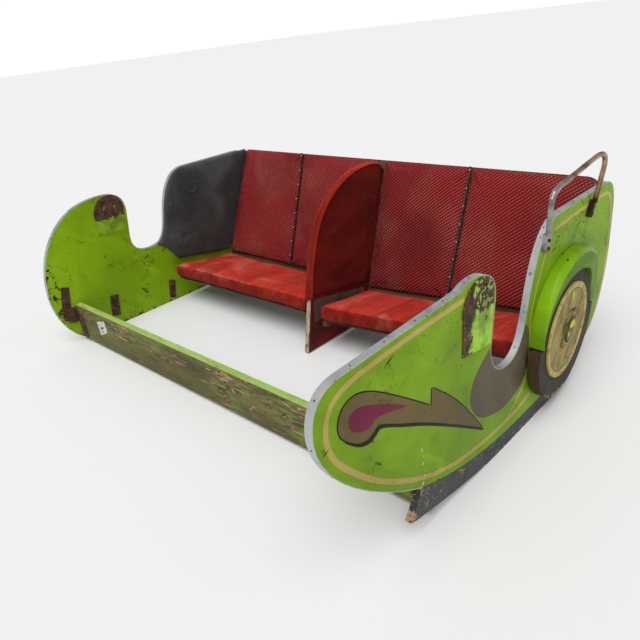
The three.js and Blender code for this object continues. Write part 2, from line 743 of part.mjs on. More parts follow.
// The origin is the middle of the car's base.
const extent = new THREE.Box3().setFromObject(car, true);
car.position.set(-(extent.min.x + extent.max.x) / 2, -(extent.min.y + extent.max.y) / 2, 0);

export default car;
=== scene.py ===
"""Looks for the two-bay fairground ride car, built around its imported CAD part.

Metres, in the part's frame: +X along the bench towards the panel that carries the wheel,
+Y to the rear, +Z up, with the floor at z = 0.
"""
import math

import bmesh
import bpy
import numpy as np
from mathutils import Matrix, Vector, geometry, noise


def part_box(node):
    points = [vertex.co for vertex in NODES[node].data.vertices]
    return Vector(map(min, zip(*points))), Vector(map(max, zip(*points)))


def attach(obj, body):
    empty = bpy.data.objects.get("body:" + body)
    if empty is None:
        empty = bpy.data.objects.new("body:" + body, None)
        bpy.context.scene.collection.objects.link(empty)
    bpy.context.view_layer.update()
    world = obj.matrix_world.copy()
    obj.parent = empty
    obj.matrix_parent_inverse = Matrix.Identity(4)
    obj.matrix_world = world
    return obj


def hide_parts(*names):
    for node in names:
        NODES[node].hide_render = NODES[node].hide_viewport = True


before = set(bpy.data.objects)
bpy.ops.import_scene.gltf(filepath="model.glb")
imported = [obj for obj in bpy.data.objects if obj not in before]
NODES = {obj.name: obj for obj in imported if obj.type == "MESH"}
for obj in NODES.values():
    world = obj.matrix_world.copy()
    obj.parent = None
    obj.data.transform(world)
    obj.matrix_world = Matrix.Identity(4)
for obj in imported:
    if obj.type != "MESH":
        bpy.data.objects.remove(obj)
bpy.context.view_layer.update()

CAR = "car"

# ---- layout, from the part's own boxes ------------------------------------------------------

RIGHT_IN, RIGHT_OUT = (corner[0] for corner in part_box("side_panel_right"))
LEFT_OUT, LEFT_IN = (corner[0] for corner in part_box("side_panel_left"))
SHIFT_Y = -0.02167  # from the outlines' own y to the part's frame
RECLINE = math.radians(24.4)  # the backrest, from vertical
SEAT_JOIN = Vector((0, 0.512 + SHIFT_Y, 0.147))
LEAN = math.radians(5.65)  # the divider, to the left
UP_BACK = Vector((0, math.sin(RECLINE), math.cos(RECLINE)))
OUT_OF_BACK = Vector((0, -math.cos(RECLINE), math.sin(RECLINE)))
OUT_OF_DIVIDER = Vector((math.cos(LEAN), 0, math.sin(LEAN)))


def colour(value):
    """A linear RGBA colour from a hex sRGB value."""
    channels = [(value >> 16 & 255) / 255, (value >> 8 & 255) / 255, (value & 255) / 255]
    linear = [c / 12.92 if c <= 0.04045 else ((c + 0.055) / 1.055) ** 2.4 for c in channels]
    return (*linear, 1)


# ---- materials ------------------------------------------------------------------------------


class Look:
    """A node material. Patterns are placed by the object's own coordinates, in metres."""

    def __init__(self, name):
        self.material = bpy.data.materials.new(name)
        self.material.use_nodes = True
        self.tree = self.material.node_tree
        self.shader = self.tree.nodes["Principled BSDF"]
        coordinates = self.tree.nodes.new("ShaderNodeTexCoord")
        self.place = coordinates.outputs["Object"]
        self.facing = coordinates.outputs["Normal"]
        self.x, self.y, self.z = self.split(self.place)

    def node(self, kind, values=(), **settings):
        node = self.tree.nodes.new(kind)
        for name, value in settings.items():
            setattr(node, name, value)
        for socket, value in dict(values).items():
            self.put(node.inputs[socket], value)
        return node

    def put(self, socket, value):
        if isinstance(value, bpy.types.NodeSocket):
            self.tree.links.new(value, socket)
        else:
            socket.default_value = value

    def split(self, vector):
        return self.node("ShaderNodeSeparateXYZ", {0: vector}).outputs

    def math(self, operation, a, b=0.0):
        return self.node("ShaderNodeMath", {0: a, 1: b}, operation=operation).outputs[0]

    def plus(self, a, b):
        return self.math("ADD", a, b)

    def minus(self, a, b):
        return self.math("SUBTRACT", a, b)

    def stretched(self, scale, turn=(0, 0, 0)):
        """The coordinates, turned and then scaled: a small scale draws a pattern out."""
        turned = self.node("ShaderNodeVectorRotate", {0: self.place, 4: turn},
                           rotation_type="EULER_XYZ").outputs[0]
        return self.node("ShaderNodeVectorMath", {0: turned, 1: scale},
                         operation="MULTIPLY").outputs[0]

    def noise(self, scale, detail=3.0, warp=0.0, at=None):
        values = {"Vector": at or self.place, "Scale": scale, "Detail": detail,
                  "Distortion": warp}
        return self.node("ShaderNodeTexNoise", values).outputs["Fac"]

    def cells(self, scale, feature="F1", at=None):
        values = {"Vector": at or self.place, "Scale": scale}
        return self.node("ShaderNodeTexVoronoi", values, feature=feature).outputs["Distance"]

    def fade(self, value, low, high):
        """0 at low, 1 at high, smooth between; low may be the greater."""
        values = {"Value": value, 1: low, 2: high}
        return self.node("ShaderNodeMapRange", values, interpolation_type="SMOOTHSTEP").outputs[0]

    def patches(self, low, high, scale, detail=3.0, warp=0.0, at=None):
        """Soft-edged patches of noise: 0 where it is at low, 1 at high."""
        return self.fade(self.noise(scale, detail, warp, at), low, high)

    def mix(self, amount, a, b):
        """From colour a to colour b; each is a socket or a hex value."""
        a, b = (colour(c) if isinstance(c, int) else c for c in (a, b))
        values = {"Factor": amount, 6: a, 7: b}
        return self.node("ShaderNodeMix", values, data_type="RGBA").outputs[2]

    def blend(self, amount, a, b):
        return self.node("ShaderNodeMix", {0: amount, 2: a, 3: b}).outputs[0]

    def both(self, a, b):
        return self.math("MULTIPLY", a, b)

    def either(self, a, b):
        return self.math("MAXIMUM", a, b)

    def bump(self, height, depth, under=None):
        values = {"Height": height, "Distance": depth, "Strength": 1.0}
        if under is not None:
            values["Normal"] = under
        return self.node("ShaderNodeBump", values).outputs[0]

    def finish(self, base, roughness, bump=None, **fixed):
        """Links the results to the shader; fixed values are set on its own sockets."""
        self.put(self.shader.inputs["Base Color"], base)
        self.put(self.shader.inputs["Roughness"], roughness)
        if bump is not None:
            self.put(self.shader.inputs["Normal"], bump)
        for name, value in fixed.items():
            self.shader.inputs[name.replace("_", " ")].default_value = value
        return self.material


def chipping(look, amount):
    """Where old paint is off: clustered specks and short scratches two ways, 0 to 1."""
    clusters = look.patches(0.60 - 0.10 * amount, 0.72 - 0.10 * amount, 5.5, 3.0, 0.4)
    specks = look.patches(0.63 - 0.02 * amount, 0.66 - 0.02 * amount, 120, 4.0, 0.6)
    loose = look.patches(0.73 - 0.015 * amount, 0.745 - 0.015 * amount, 60, 3.0, 0.5)
    worn = look.either(look.both(specks, clusters), loose)
    for turn, scale in ((0.7, 42), (-0.5, 55)):
        drawn = look.noise(scale, 3.0, 0.3, look.stretched((1, 0.22, 1.9), (turn, 0, 0)))
        line = look.fade(drawn, 0.68 - 0.015 * amount, 0.71 - 0.015 * amount)
        worn = look.either(worn, look.both(line, look.fade(clusters, -0.1, 0.5)))
    return worn


def paint(name, base, deep, light, bare=0x2E2615, amount=1.0, dirt=0.35, gloss=0.42,
          edges=None):
    """Old brushed gloss paint. edges(look) gives more bare wood, as a 0 to 1 value."""
    look = Look(name)
    cloudy = look.patches(0.34, 0.66, 2.2, 4.0, 0.5)
    streaky = look.noise(14, 5.0, 0.2, look.stretched((1, 0.25, 1), (0.7, 0, 0)))
    coat = look.mix(cloudy, base, deep)
    coat = look.mix(look.both(look.fade(streaky, 0.5, 0.75), 0.5), coat, light)
    grime = look.both(look.patches(0.5, 0.8, 9, 6.0, 0.8), dirt)
    coat = look.mix(grime, coat, 0x3A3A14)
    off = chipping(look, amount)
    if edges is not None:
        ragged = look.noise(45, 5.0, 0.5)
        off = look.either(off, look.fade(look.plus(edges(look), ragged), 1.0, 1.06))
    under = look.mix(look.patches(0.4, 0.6, 35, 3.0), bare, 0x5E4A2C)
    brushed = look.noise(160, 2.0, 0.0, look.stretched((1, 0.12, 1), (0.2, 0, 0)))
    surface = look.bump(look.minus(1.0, off), 0.0005)
    surface = look.bump(look.plus(brushed, look.noise(8, 2.0)), 0.00025, surface)
    rough = look.blend(off, look.plus(look.both(streaky, 0.25), gloss - 0.1), 0.85)
    return look.finish(look.mix(off, coat, under), rough, surface, Specular_IOR_Level=0.12)


def left_edges(look):
    """Bare wood all along the left panel's front edge, thinner towards the rear."""
    front = look.fade(look.y, -0.35, -0.60)
    low = look.fade(look.z, 0.07, 0.0)
    return look.plus(look.both(front, 0.55), look.both(low, 0.45))


def right_edges(look):
    """Bare wood along the right panel's lower edge."""
    low = look.fade(look.plus(look.z, look.both(look.y, 0.35)), 0.06, -0.02)
    return look.both(low, 0.5)


def rust(name, old_paint=None, where=None):
    """Pitted rust, with patches of old paint where asked."""
    look = Look(name)
    patches = look.patches(0.35, 0.65, 28, 6.0, 0.6)
    base = look.mix(patches, 0x33211A, 0x5C3E2E)
    base = look.mix(look.patches(0.55, 0.7, 130, 3.0), base, 0x84614A)
    pits = look.fade(look.cells(240), 0.1, 0.5)
    height = look.plus(pits, look.both(look.noise(60, 5.0), 1.5))
    rough = 0.85
    if old_paint:
        ragged = look.plus(where(look), look.both(look.noise(48, 8.0, 0.9), 1.3))
        kept = look.fade(ragged, 1.08, 1.12)
        fresh = look.mix(look.patches(0.4, 0.65, 20, 4.0), old_paint,
                         0x6F9410)
        base = look.mix(kept, base, fresh)
        rough = look.blend(kept, 0.85, 0.35)
        height = look.plus(height, kept)
    return look.finish(base, rough, look.bump(height, 0.0009), Metallic=0.1)


def wood(name, base, dark, axis, aged=0.5):
    """Bare timber with its grain along an axis (0, 1 or 2)."""
    look = Look(name)
    scale = [18.0, 18.0, 18.0]
    scale[axis] = 0.9
    grain = look.noise(4, 6.0, 0.5, look.stretched(tuple(scale)))
    lines = look.noise(16, 3.0, 0.2, look.stretched(tuple(scale)))
    base = look.mix(look.fade(grain, 0.35, 0.65), base, dark)
    base = look.mix(look.both(look.fade(lines, 0.55, 0.7), 0.6), base, 0x4A3A26)
    stain = look.both(look.patches(0.45, 0.75, 6, 5.0), aged)
    base = look.mix(stain, base, 0x5E564A)
    return look.finish(base, 0.8, look.bump(look.plus(grain, lines), 0.0008))


def metal(name, base, dark, roughness):
    """Old bright metal, smudged and spotted."""
    look = Look(name)
    smudges = look.patches(0.4, 0.75, 14, 6.0, 0.4)
    fine = look.noise(90, 4.0)
    spots = look.patches(0.64, 0.70, 70, 4.0)
    base = look.mix(look.both(smudges, 0.6), base, dark)
    base = look.mix(look.both(spots, 0.7), base, 0x4C4640)
    rough = look.plus(look.both(fine, 0.25), roughness)
    dents = look.plus(look.both(look.noise(25, 2.0), 3.0), fine)
    return look.finish(base, rough, look.bump(dents, 0.0003), Metallic=0.85)


def handle_look():
    """Tarnished bronze, polished to grey steel low at the front, rust on the rear foot."""
    look = Look("handle_metal")
    smudges = look.patches(0.38, 0.68, 16, 6.0, 0.5)
    bronze = look.mix(smudges, 0xA88A68, 0x6A543E)
    steel = look.mix(smudges, 0x9C9A96, 0x64605C)
    rusty = look.mix(smudges, 0x3E2A1E, 0x5A4234)
    ragged = look.noise(30, 4.0, 0.5)
    front = look.fade(look.plus(look.y, look.both(ragged, 0.06)), 0.36, 0.30)
    low = look.fade(look.plus(look.z, look.both(ragged, 0.05)), 0.735, 0.715)
    rear_foot = look.both(low, look.minus(1.0, front))
    base = look.mix(rear_foot, look.mix(front, bronze, steel), rusty)
    pits = look.noise(120, 4.0)
    return look.finish(base, look.blend(rear_foot, look.blend(smudges, 0.26, 0.5), 0.85),
                       look.bump(pits, 0.0004), Metallic=0.8)


def velvet(name, base, deep, worn, wear=0.5, where=None):
    """Cut pile brushed in streaks across the seat, with rubbed patches, and painted shade that darkens
    the faces turned to the front.
    """
    look = Look(name)
    nap = look.noise(6, 5.0, 1.0, look.stretched((1.6, 0.45, 1.0)))
    brushed = look.noise(60, 4.0, 0.5, look.stretched((1.3, 0.2, 0.5)))
    pile = look.noise(900, 2.0)
    coat = look.mix(look.fade(nap, 0.36, 0.66), base, deep)
    rubbed = look.patches(0.60 - 0.1 * wear, 0.86 - 0.1 * wear, 4.5, 6.0, 0.8)
    if where is not None:
        rubbed = look.either(rubbed, where(look))
    coat = look.mix(look.both(rubbed, 0.6), coat, worn)
    coat = look.mix(look.both(look.fade(brushed, 0.5, 0.85), 0.4), coat, worn)
    # painted shade: faces turned to the front are darkened towards 0x6E1208, unevenly in blotches
    front_shade = look.fade(look.split(look.facing)[1], -0.35, -0.85)
    front_shade_blotches = look.patches(0.3, 0.7, 16, 5.0, 0.7, look.stretched((1, 1, 0.5)))
    coat = look.mix(look.both(front_shade, look.blend(front_shade_blotches, 0.55, 0.9)), coat, 0x6E1208)
    coat = look.mix(look.both(look.fade(pile, 0.55, 0.3), 0.3), coat, 0x3A0604)
    height = look.plus(pile, look.both(brushed, 2.5))
    return look.finish(coat, 0.9, look.bump(height, 0.0007), Sheen_Weight=0.12,
                       Sheen_Roughness=0.4, Sheen_Tint=(1.0, 0.5, 0.4, 1),
                       Specular_IOR_Level=0.12)


RIB_PITCH = 0.0162
LOOP_PITCH = 0.022


def moquette(name, base, pale, dark):
    """Looped pile in diagonal ribs that rise to the right, each rib a row of loops, with painted shade
    in the valleys and painted highlights on the knot tops.
    """
    look = Look(name)
    up = look.plus(look.both(look.y, UP_BACK.y), look.both(look.z, UP_BACK.z))
    wander = look.both(look.minus(look.noise(6, 2.0), 0.5), 0.012)
    across = look.plus(look.x, wander)

    def ridges(slope, pitch):
        phase = look.minus(up, look.both(across, slope))
        return look.math("COSINE", look.both(phase, 2 * math.pi / pitch))

    rib = look.fade(ridges(0.85, RIB_PITCH), -0.85, 0.55)
    loop = look.fade(ridges(-1.6, LOOP_PITCH), -0.9, 0.7)
    knot = look.both(rib, loop)
    thread = look.noise(600, 2.0)
    worn = look.patches(0.42, 0.70, 4.0, 5.0, 0.5)
    coat = look.mix(look.patches(0.35, 0.7, 2.5, 4.0), base, dark)
    # painted shade: the valleys between the ribs are darkened towards 0x541216
    coat = look.mix(look.both(look.minus(1.0, rib), 0.7), coat, 0x541216)
    # painted highlight on the knot tops, paler still where the pile is rubbed (wear)
    knot_highlight_and_wear = look.both(look.fade(knot, 0.6, 1.0), look.blend(worn, 0.12, 0.55))
    coat = look.mix(knot_highlight_and_wear, coat, pale)
    coat = look.mix(look.both(worn, 0.12), coat, 0x9A6E66)
    coat = look.mix(look.both(look.fade(thread, 0.5, 0.75), 0.2), coat, 0x5A1014)
    height = look.plus(look.plus(look.both(rib, 1.4), knot), look.both(thread, 0.4))
    return look.finish(coat, 0.95, look.bump(height, 0.0045), Specular_IOR_Level=0.1)


def charcoal(name):
    """Short dark pile, rubbed paler in clouds, with fine lint."""
    look = Look(name)
    clouds = look.patches(0.35, 0.7, 5, 5.0, 0.6)
    base = look.mix(clouds, 0x3A3C3B, 0x545654)
    lint = look.patches(0.62, 0.75, 55, 5.0, 1.0, look.stretched((1, 0.5, 1.5), (0.4, 0, 0)))
    base = look.mix(look.both(lint, 0.35), base, 0x7C7E7A)
    pile = look.noise(800, 2.0)
    base = look.mix(look.both(look.fade(pile, 0.55, 0.3), 0.4), base, 0x16181A)
    height = look.plus(pile, look.both(look.noise(40, 4.0), 2.0))
    return look.finish(base, 0.92, look.bump(height, 0.0008), Sheen_Weight=0.12,
                       Specular_IOR_Level=0.2)


def plank_look():
    """The front board: pale green on top, and olive paint flaking off bare wood in front."""
    look = Look("flaking_board")
    along = look.stretched((0.14, 1, 1.0))
    flakes = look.noise(58, 6.0, 1.2, along)
    region = look.noise(3.0, 3.0, 0.4, look.stretched((0.8, 1, 1.4)))
    olive = look.mix(look.patches(0.35, 0.65, 7, 5.0, 0.6, along), 0x6A6C2C,
                     0x4A4A20)
    olive = look.mix(look.both(look.fade(region, 0.5, 0.62), 0.55), olive, 0x7C9A36)
    brown = look.mix(look.patches(0.4, 0.6, 40, 4.0, 0.4, along), 0x4A3820,
                     0x7A6138)
    tan = 0xA89064
    loosened = look.plus(flakes, look.both(region, 0.45))
    gone = look.fade(loosened, 0.73, 0.79)
    curled = look.fade(loosened, 0.875, 0.89)
    front = look.mix(gone, olive, brown)
    front = look.mix(curled, front, tan)
    top = look.mix(look.patches(0.4, 0.7, 12, 5.0, 0.5, along), 0xA9C765,
                   0x8AAE3E)
    bare = look.patches(0.62, 0.66, 30, 6.0, 0.8, along)
    top = look.mix(bare, top, tan)
    upward = look.fade(look.split(look.facing)[2], 0.5, 0.6)
    grain = look.noise(25, 4.0, 0.2, look.stretched((0.05, 1, 3)))
    height = look.minus(grain, look.both(gone, 1.5))
    return look.finish(look.mix(upward, front, top), 0.75, look.bump(height, 0.0012))


def skid_look():
    """Near-black paint, cracked to the wood in long slanting splits."""
    look = Look("cracked_black")
    warp = look.noise(6, 4.0)
    at = look.node("ShaderNodeVectorMath", {0: look.stretched((1, 1.0, 2.2), (0.6, 0, 0)), 1: warp},
                   operation="ADD").outputs[0]
    splits = look.fade(look.cells(9, "DISTANCE_TO_EDGE", at), 0.035, 0.012)
    here = look.patches(0.50, 0.58, 7, 3.0, 0.5)
    end = look.fade(look.y, -0.30, -0.49)
    open_split = look.both(splits, look.either(here, end))
    ragged = look.noise(60, 5.0, 0.5)
    tip = look.both(look.fade(look.y, -0.44, -0.50), look.fade(look.z, 0.13, 0.09))
    toe = look.fade(look.plus(look.both(tip, 0.5), ragged), 0.84, 0.90)
    sole = look.fade(look.plus(look.both(look.fade(look.z, 0.02, 0.0), 0.35), ragged), 0.83, 0.88)
    specks = look.patches(0.66, 0.69, 85, 5.0, 0.5)
    bare = look.either(look.either(open_split, toe), look.either(sole, specks))
    black = look.mix(look.patches(0.35, 0.7, 10, 5.0), 0x15181C, 0x2C3234)
    base = look.mix(bare, black, 0xA08562)
    return look.finish(base, look.blend(bare, 0.5, 0.85),
                       look.bump(look.minus(look.noise(70, 4.0), bare), 0.001))


def divider_board_look():
    """Dark red paint on its faces, and its front edge bare and grey with age."""
    look = Look("divider_board")
    grain = look.noise(60, 5.0, 0.4, look.stretched((1, 1, 0.06)))
    wood_tone = look.mix(look.fade(grain, 0.35, 0.65), 0xC9BC9C, 0x8C7F66)
    wood_tone = look.mix(look.patches(0.52, 0.62, 22, 6.0, 0.8), wood_tone, 0x6E5E48)
    red = look.mix(look.patches(0.35, 0.68, 9, 5.0, 0.5), 0x7A1610, 0x4A0C0A)
    red = look.mix(chipping(look, 0.9), red, 0x2A0A08)
    onto_front = look.fade(look.split(look.facing)[1], -0.4, -0.6)
    return look.finish(look.mix(onto_front, red, wood_tone), 0.7, look.bump(grain, 0.0006),
                       Specular_IOR_Level=0.25)


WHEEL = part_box("wheel_rim")
WHEEL_Y = (WHEEL[0][1] + WHEEL[1][1]) / 2
WHEEL_Z = (WHEEL[0][2] + WHEEL[1][2]) / 2
RING_INNER = 0.146  # radius where the cream ring starts
PLY_PITCH = 0.0042  # thickness of two plies in the tyre board's edge


def from_hub(look):
    """Distance from the wheel's centre, and the two offsets."""
    dy = look.minus(look.y, WHEEL_Y)
    dz = look.minus(look.z, WHEEL_Z)
    squares = look.plus(look.both(dy, dy), look.both(dz, dz))
    return look.math("SQRT", squares), dy, dz


def rim_look():
    """Cream ring round an ochre disc painted to look like wood, with dark lining."""
    look = Look("lined_cream")
    radius = from_hub(look)[0]
    cloudy = look.patches(0.35, 0.68, 16, 6.0, 1.0, look.stretched((1, 1.6, 0.5), (0.5, 0, 0)))
    ochre = look.mix(cloudy, 0x9C8C46, 0x6A5E2C)
    ochre = look.mix(look.both(look.patches(0.55, 0.7, 60, 5.0, 0.7), 0.5), ochre, 0xB5A45C)
    cream = look.mix(look.patches(0.4, 0.7, 30, 4.0), 0xC2AC60, 0x9C8440)
    face = look.mix(look.fade(radius, RING_INNER - 0.0005, RING_INNER + 0.001), ochre, cream)
    lining = look.both(look.fade(radius, RING_INNER - 0.0025, RING_INNER - 0.0015),
                       look.fade(radius, RING_INNER + 0.0015, RING_INNER + 0.0005))
    face = look.mix(look.both(lining, 0.85), face, 0x2E2818)
    off = chipping(look, 0.6)
    face = look.mix(off, face, 0x4A3C22)
    return look.finish(face, 0.55, look.bump(look.minus(look.noise(90, 3.0), off), 0.0004),
                       Specular_IOR_Level=0.25)


def tyre_look():
    """Dark painted board, its ply edge worn to the wood low at the front."""
    look = Look("tyre_board")
    radius, dy, dz = from_hub(look)
    base = look.mix(look.patches(0.35, 0.68, 14, 6.0, 0.6), 0x25271D, 0x373827)
    side = look.fade(look.plus(dy, dz), -0.08, -0.26)
    ragged = look.noise(42, 6.0, 0.8)
    rimward = look.fade(radius, 0.215, 0.252)
    off = look.fade(look.plus(ragged, look.both(look.both(rimward, side), 0.5)), 0.83, 0.88)
    facing = look.split(look.facing)[0]
    edge = look.fade(facing, 0.5, 0.3)
    plies = look.fade(look.math("SINE", look.both(look.x, 2 * math.pi / PLY_PITCH)), -0.4, 0.4)
    ply = look.mix(plies, 0x241A12, 0x5A452C)
    worn_edge = look.both(edge, look.fade(look.plus(ragged, look.both(side, 0.3)), 0.56, 0.64))
    base = look.mix(off, base, 0x9A7E54)
    base = look.mix(worn_edge, base, ply)
    return look.finish(base, 0.65, look.bump(look.minus(look.noise(60, 4.0), off), 0.0007),
                       Specular_IOR_Level=0.2)


def mudguard_look():
    """Lime with a painted highlight on the rounded top, painted shade in duller green on the flat face,
    and a worn arris between.
    """
    look = Look("mudguard_lime")
    facing = look.split(look.facing)[0]
    face = look.fade(facing, 0.86, 0.99)
    # painted highlight: the rounded top is a brighter lime; painted shade: the flat face is a duller
    # green
    lit_lime = look.mix(look.patches(0.35, 0.65, 5, 4.0), 0x82AE0E, 0x66920A)
    shaded_green = look.mix(look.patches(0.35, 0.7, 9, 5.0, 0.5), 0x527C12, 0x668C18)
    base = look.mix(face, lit_lime, shaded_green)
    arris = look.both(look.fade(facing, 0.80, 0.93), look.fade(facing, 0.999, 0.96))
    ragged = look.noise(55, 5.0, 0.6)
    rubbed = look.both(arris, look.fade(ragged, 0.44, 0.52))
    base = look.mix(look.both(rubbed, 0.8), base, 0x9A8A4A)
    off = chipping(look, 0.5)
    base = look.mix(off, base, 0x3C3418)
    surface = look.bump(look.minus(look.noise(60, 3.0), off), 0.0003)
    return look.finish(base, look.blend(look.either(off, face), 0.28, 0.6), surface,
                       Specular_IOR_Level=0.2)


def dirty_white():
    """The small plate: white paint, flecked where it has chipped."""
    look = Look("chipped_white")
    base = look.mix(look.patches(0.4, 0.7, 60, 5.0, 0.5), 0xD9D8D0, 0xA3A198)
    off = look.patches(0.60, 0.63, 90, 4.0, 0.4)
    return look.finish(look.mix(off, base, 0x3A342A), 0.5, look.bump(off, 0.0005))


GREEN = paint("green_paint", 0x80A80C, 0x688E08, 0x94BA20, amount=0.9, edges=right_edges)
GREEN_LEFT = paint("green_paint_left", 0x8EBA10, 0x7EA60C, 0xA2C626, amount=1.1, dirt=0.25,
                   edges=left_edges)
ALUMINIUM = metal("edging_aluminium", 0xC4C6C6, 0x84868A, 0.48)
RUST = rust("rust")
RUST_LEFT = rust("rust_with_lime_left", 0x93BF14, lambda look: look.fade(look.z, 0.60, 0.50))
RUST_RIGHT = rust("rust_with_lime_right", 0x9CD60C,
                  lambda look: look.plus(look.both(look.fade(look.y, -0.225, -0.185), 0.40),
                                         look.both(look.fade(look.z, 0.60, 0.52), 0.30)))
GREY_STEEL = metal("corroded_steel", 0x7A6E62, 0x4E4238, 0.55)
STRIP = metal("strip_steel", 0x6A4A4C, 0x4A3236, 0.6)
BARE_WOOD = wood("bare_wood", 0x6E5638, 0x46341F, 0)
# painted shade: the squab boards are coloured near-black brown to stand for the shadow under the
# cushions
SHADOW_BOARD = wood("shadow_board", 0x3A2218, 0x24140E, 0)
MOQUETTE = moquette("red_moquette", 0xC03A3C, 0xE39A88, 0x96282C)
CHARCOAL = charcoal("charcoal_pile")
DARK_VELVET = velvet("divider_velvet", 0x6E1610, 0x560E0A, 0x8C3024, 0.4)
ROLL_VELVET = velvet("roll_velvet", 0xB83420, 0x952414, 0xC85A3C, 0.5)


def seat_front(look):
    """Bald along the top front edge of the squabs."""
    edge = look.both(look.fade(look.z, 0.185, 0.205), look.fade(look.y, 0.16, 0.11))
    return look.both(edge, look.patches(0.42, 0.62, 14, 5.0))


SEAT = velvet("seat_velvet", 0xCA3628, 0xAC261A, 0xDF8470, 0.8, seat_front)

CAD_MATERIALS = {
    "side_panel_right": GREEN, "side_panel_left": GREEN_LEFT,
    "edge_trim_right": ALUMINIUM, "edge_trim_left": ALUMINIUM,
    "skid_right": skid_look(), "wheel_tyre": tyre_look(), "wheel_rim": rim_look(),
    "mudguard": mudguard_look(), "grab_handle": handle_look(),
    "bar_plate_left": RUST_LEFT, "bar_plate_right": RUST_RIGHT,
    "front_board": plank_look(), "plank_plate": dirty_white(),
    "divider_board": divider_board_look(),
    "wheel_hub": paint("hub_paint", 0x8C7B3A, 0x5C4E30, 0xB0A050, 0x2A2418, 1.5),
    "wheel_cap": paint("cap_paint", 0x6E6448, 0x57702A, 0x8C9A3C, 0x3C382C, 1.6),
}
PREFIX_MATERIALS = {
    "handle_bolt": RUST, "front_angle": RUST, "plank_bolt": RUST, "floor_strap": RUST,
    "seat_strap": RUST, "divider_flange": GREY_STEEL, "back_strip": STRIP,
    "squab_board": SHADOW_BOARD, "seat_bearer": BARE_WOOD, "back_board": BARE_WOOD,
    "back_rail": BARE_WOOD,
}


def wear(node, material):
    """Gives a piece one material."""
    node.data.materials.clear()
    node.data.materials.append(material)


for name, node in NODES.items():
    chosen = CAD_MATERIALS.get(name)
    for prefix, material in PREFIX_MATERIALS.items():
        if name.startswith(prefix):
            chosen = material
    if chosen:
        wear(node, chosen)

# ---- pieces ---------------------------------------------------------------------------------


def piece(name, vertices, faces, material, smooth=True):
    """A new mesh that rides on the car."""
    mesh = bpy.data.meshes.new(name)
    mesh.from_pydata([tuple(v) for v in vertices], [], faces)
    mesh.validate()
    obj = bpy.data.objects.new(name, mesh)
    bpy.context.scene.collection.objects.link(obj)
    mesh.materials.append(material)
    for polygon in mesh.polygons:
        polygon.use_smooth = smooth
    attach(obj, CAR)
    return obj


def repair_normals(obj):
    shape = bmesh.new()
    shape.from_mesh(obj.data)
    bmesh.ops.recalc_face_normals(shape, faces=shape.faces)
    shape.to_mesh(obj.data)
    shape.free()


def smooth_curve(points, steps=8, closed=False):
    """A Catmull-Rom curve through points given as tuples."""
    points = [Vector(p) for p in points]
    count = len(points)
    result = []
    for i in range(count if closed else count - 1):
        around = [points[(i + k) % count] if closed else points[min(max(i + k, 0), count - 1)]
                  for k in (-1, 0, 1, 2)]
        a, b, c, d = around
        for s in range(steps):
            t = s / steps
            result.append(0.5 * (2 * b + (c - a) * t + (2 * a - 5 * b + 4 * c - d) * t * t
                                 + (3 * b - a - 3 * c + d) * t ** 3))
    if not closed:
        result.append(points[-1])
    return result


def bezier(start, first, second, end, steps=16):
    a, b, c, d = (Vector(p) for p in (start, first, second, end))
    return [a * (1 - t) ** 3 + 3 * b * t * (1 - t) ** 2 + 3 * c * t * t * (1 - t) + d * t ** 3
            for t in (s / steps for s in range(steps + 1))]


def edge_curve(*points):
    """A curve of a panel's edge, its (y, z) points moved to the part's frame."""
    return bezier(*((y + SHIFT_Y, z) for y, z in points))


def inlay(name, outline, material, level=1, centre=(RIGHT_OUT, 0, 0), normal=(1, 0, 0)):
    """A layer of sign paint on a flat face: a thin closed plate with a (y, z) outline."""
    thick = 0.00035
    slope = normal[1] / normal[0], normal[2] / normal[0]
    face = [centre[0] - slope[0] * (y - centre[1]) - slope[1] * (z - centre[2]) for y, z in outline]
    low = [(x + 0.00005, y, z) for x, (y, z) in zip(face, outline)]
    high = [(x + thick * level, y, z) for x, (y, z) in zip(face, outline)]
    count = len(outline)
    vertices = low + high
    faces = [tuple(range(count)), tuple(range(2 * count - 1, count - 1, -1))]
    faces += [(i, (i + 1) % count, count + (i + 1) % count, count + i) for i in range(count)]
    obj = piece(name, vertices, faces, material, smooth=False)
    shape = bmesh.new()
    shape.from_mesh(obj.data)
    bmesh.ops.triangulate(shape, faces=shape.faces, ngon_method="EAR_CLIP")
    bmesh.ops.recalc_face_normals(shape, faces=shape.faces)
    shape.to_mesh(obj.data)
    shape.free()
    return obj


def stripe(name, points, width, material, level=1):
    """A painted line of even width along a smooth curve on the right panel."""
    line = smooth_curve(points)
    left, right = [], []
    for i, point in enumerate(line):
        along = (line[min(i + 1, len(line) - 1)] - line[max(i - 1, 0)]).normalized()
        side = Vector((-along.y, along.x)) * width / 2
        left.append(point + side)
        right.append(point - side)
    return inlay(name, left + right[::-1], material, level)


def dome(vertices, faces, centre, normal, radius, height, sides=8):
    """Adds a low round head to a mesh that is being gathered."""
    normal = Vector(normal).normalized()
    across = normal.orthogonal().normalized()
    up = normal.cross(across)
    first = len(vertices)
    rings = [(1.0, -0.3), (1.0, 0.15), (0.75, 0.7)]
    for size, rise in rings:
        for k in range(sides):
            angle = 2 * math.pi * k / sides
            edge = (across * math.cos(angle) + up * math.sin(angle)) * radius * size
            vertices.append(Vector(centre) + edge + normal * height * rise)
    vertices.append(Vector(centre) + normal * height)
    vertices.append(Vector(centre) - normal * height * 0.3)
    top, bottom = len(vertices) - 2, len(vertices) - 1
    for ring in range(len(rings) - 1):
        for k in range(sides):
            a = first + ring * sides + k
            b = first + ring * sides + (k + 1) % sides
            faces.append((a, b, b + sides, a + sides))
    last = first + (len(rings) - 1) * sides
    for k in range(sides):
        faces.append((last + k, last + (k + 1) % sides, top))
        faces.append((first + (k + 1) % sides, first + k, bottom))


def heads(name, places, radius, height, material):
    """Round nail or tack heads as one piece: places are (centre, normal) pairs."""
    vertices, faces = [], []
    for centre, normal in places:
        dome(vertices, faces, centre, normal, radius, height)
    piece(name, vertices, faces, material)


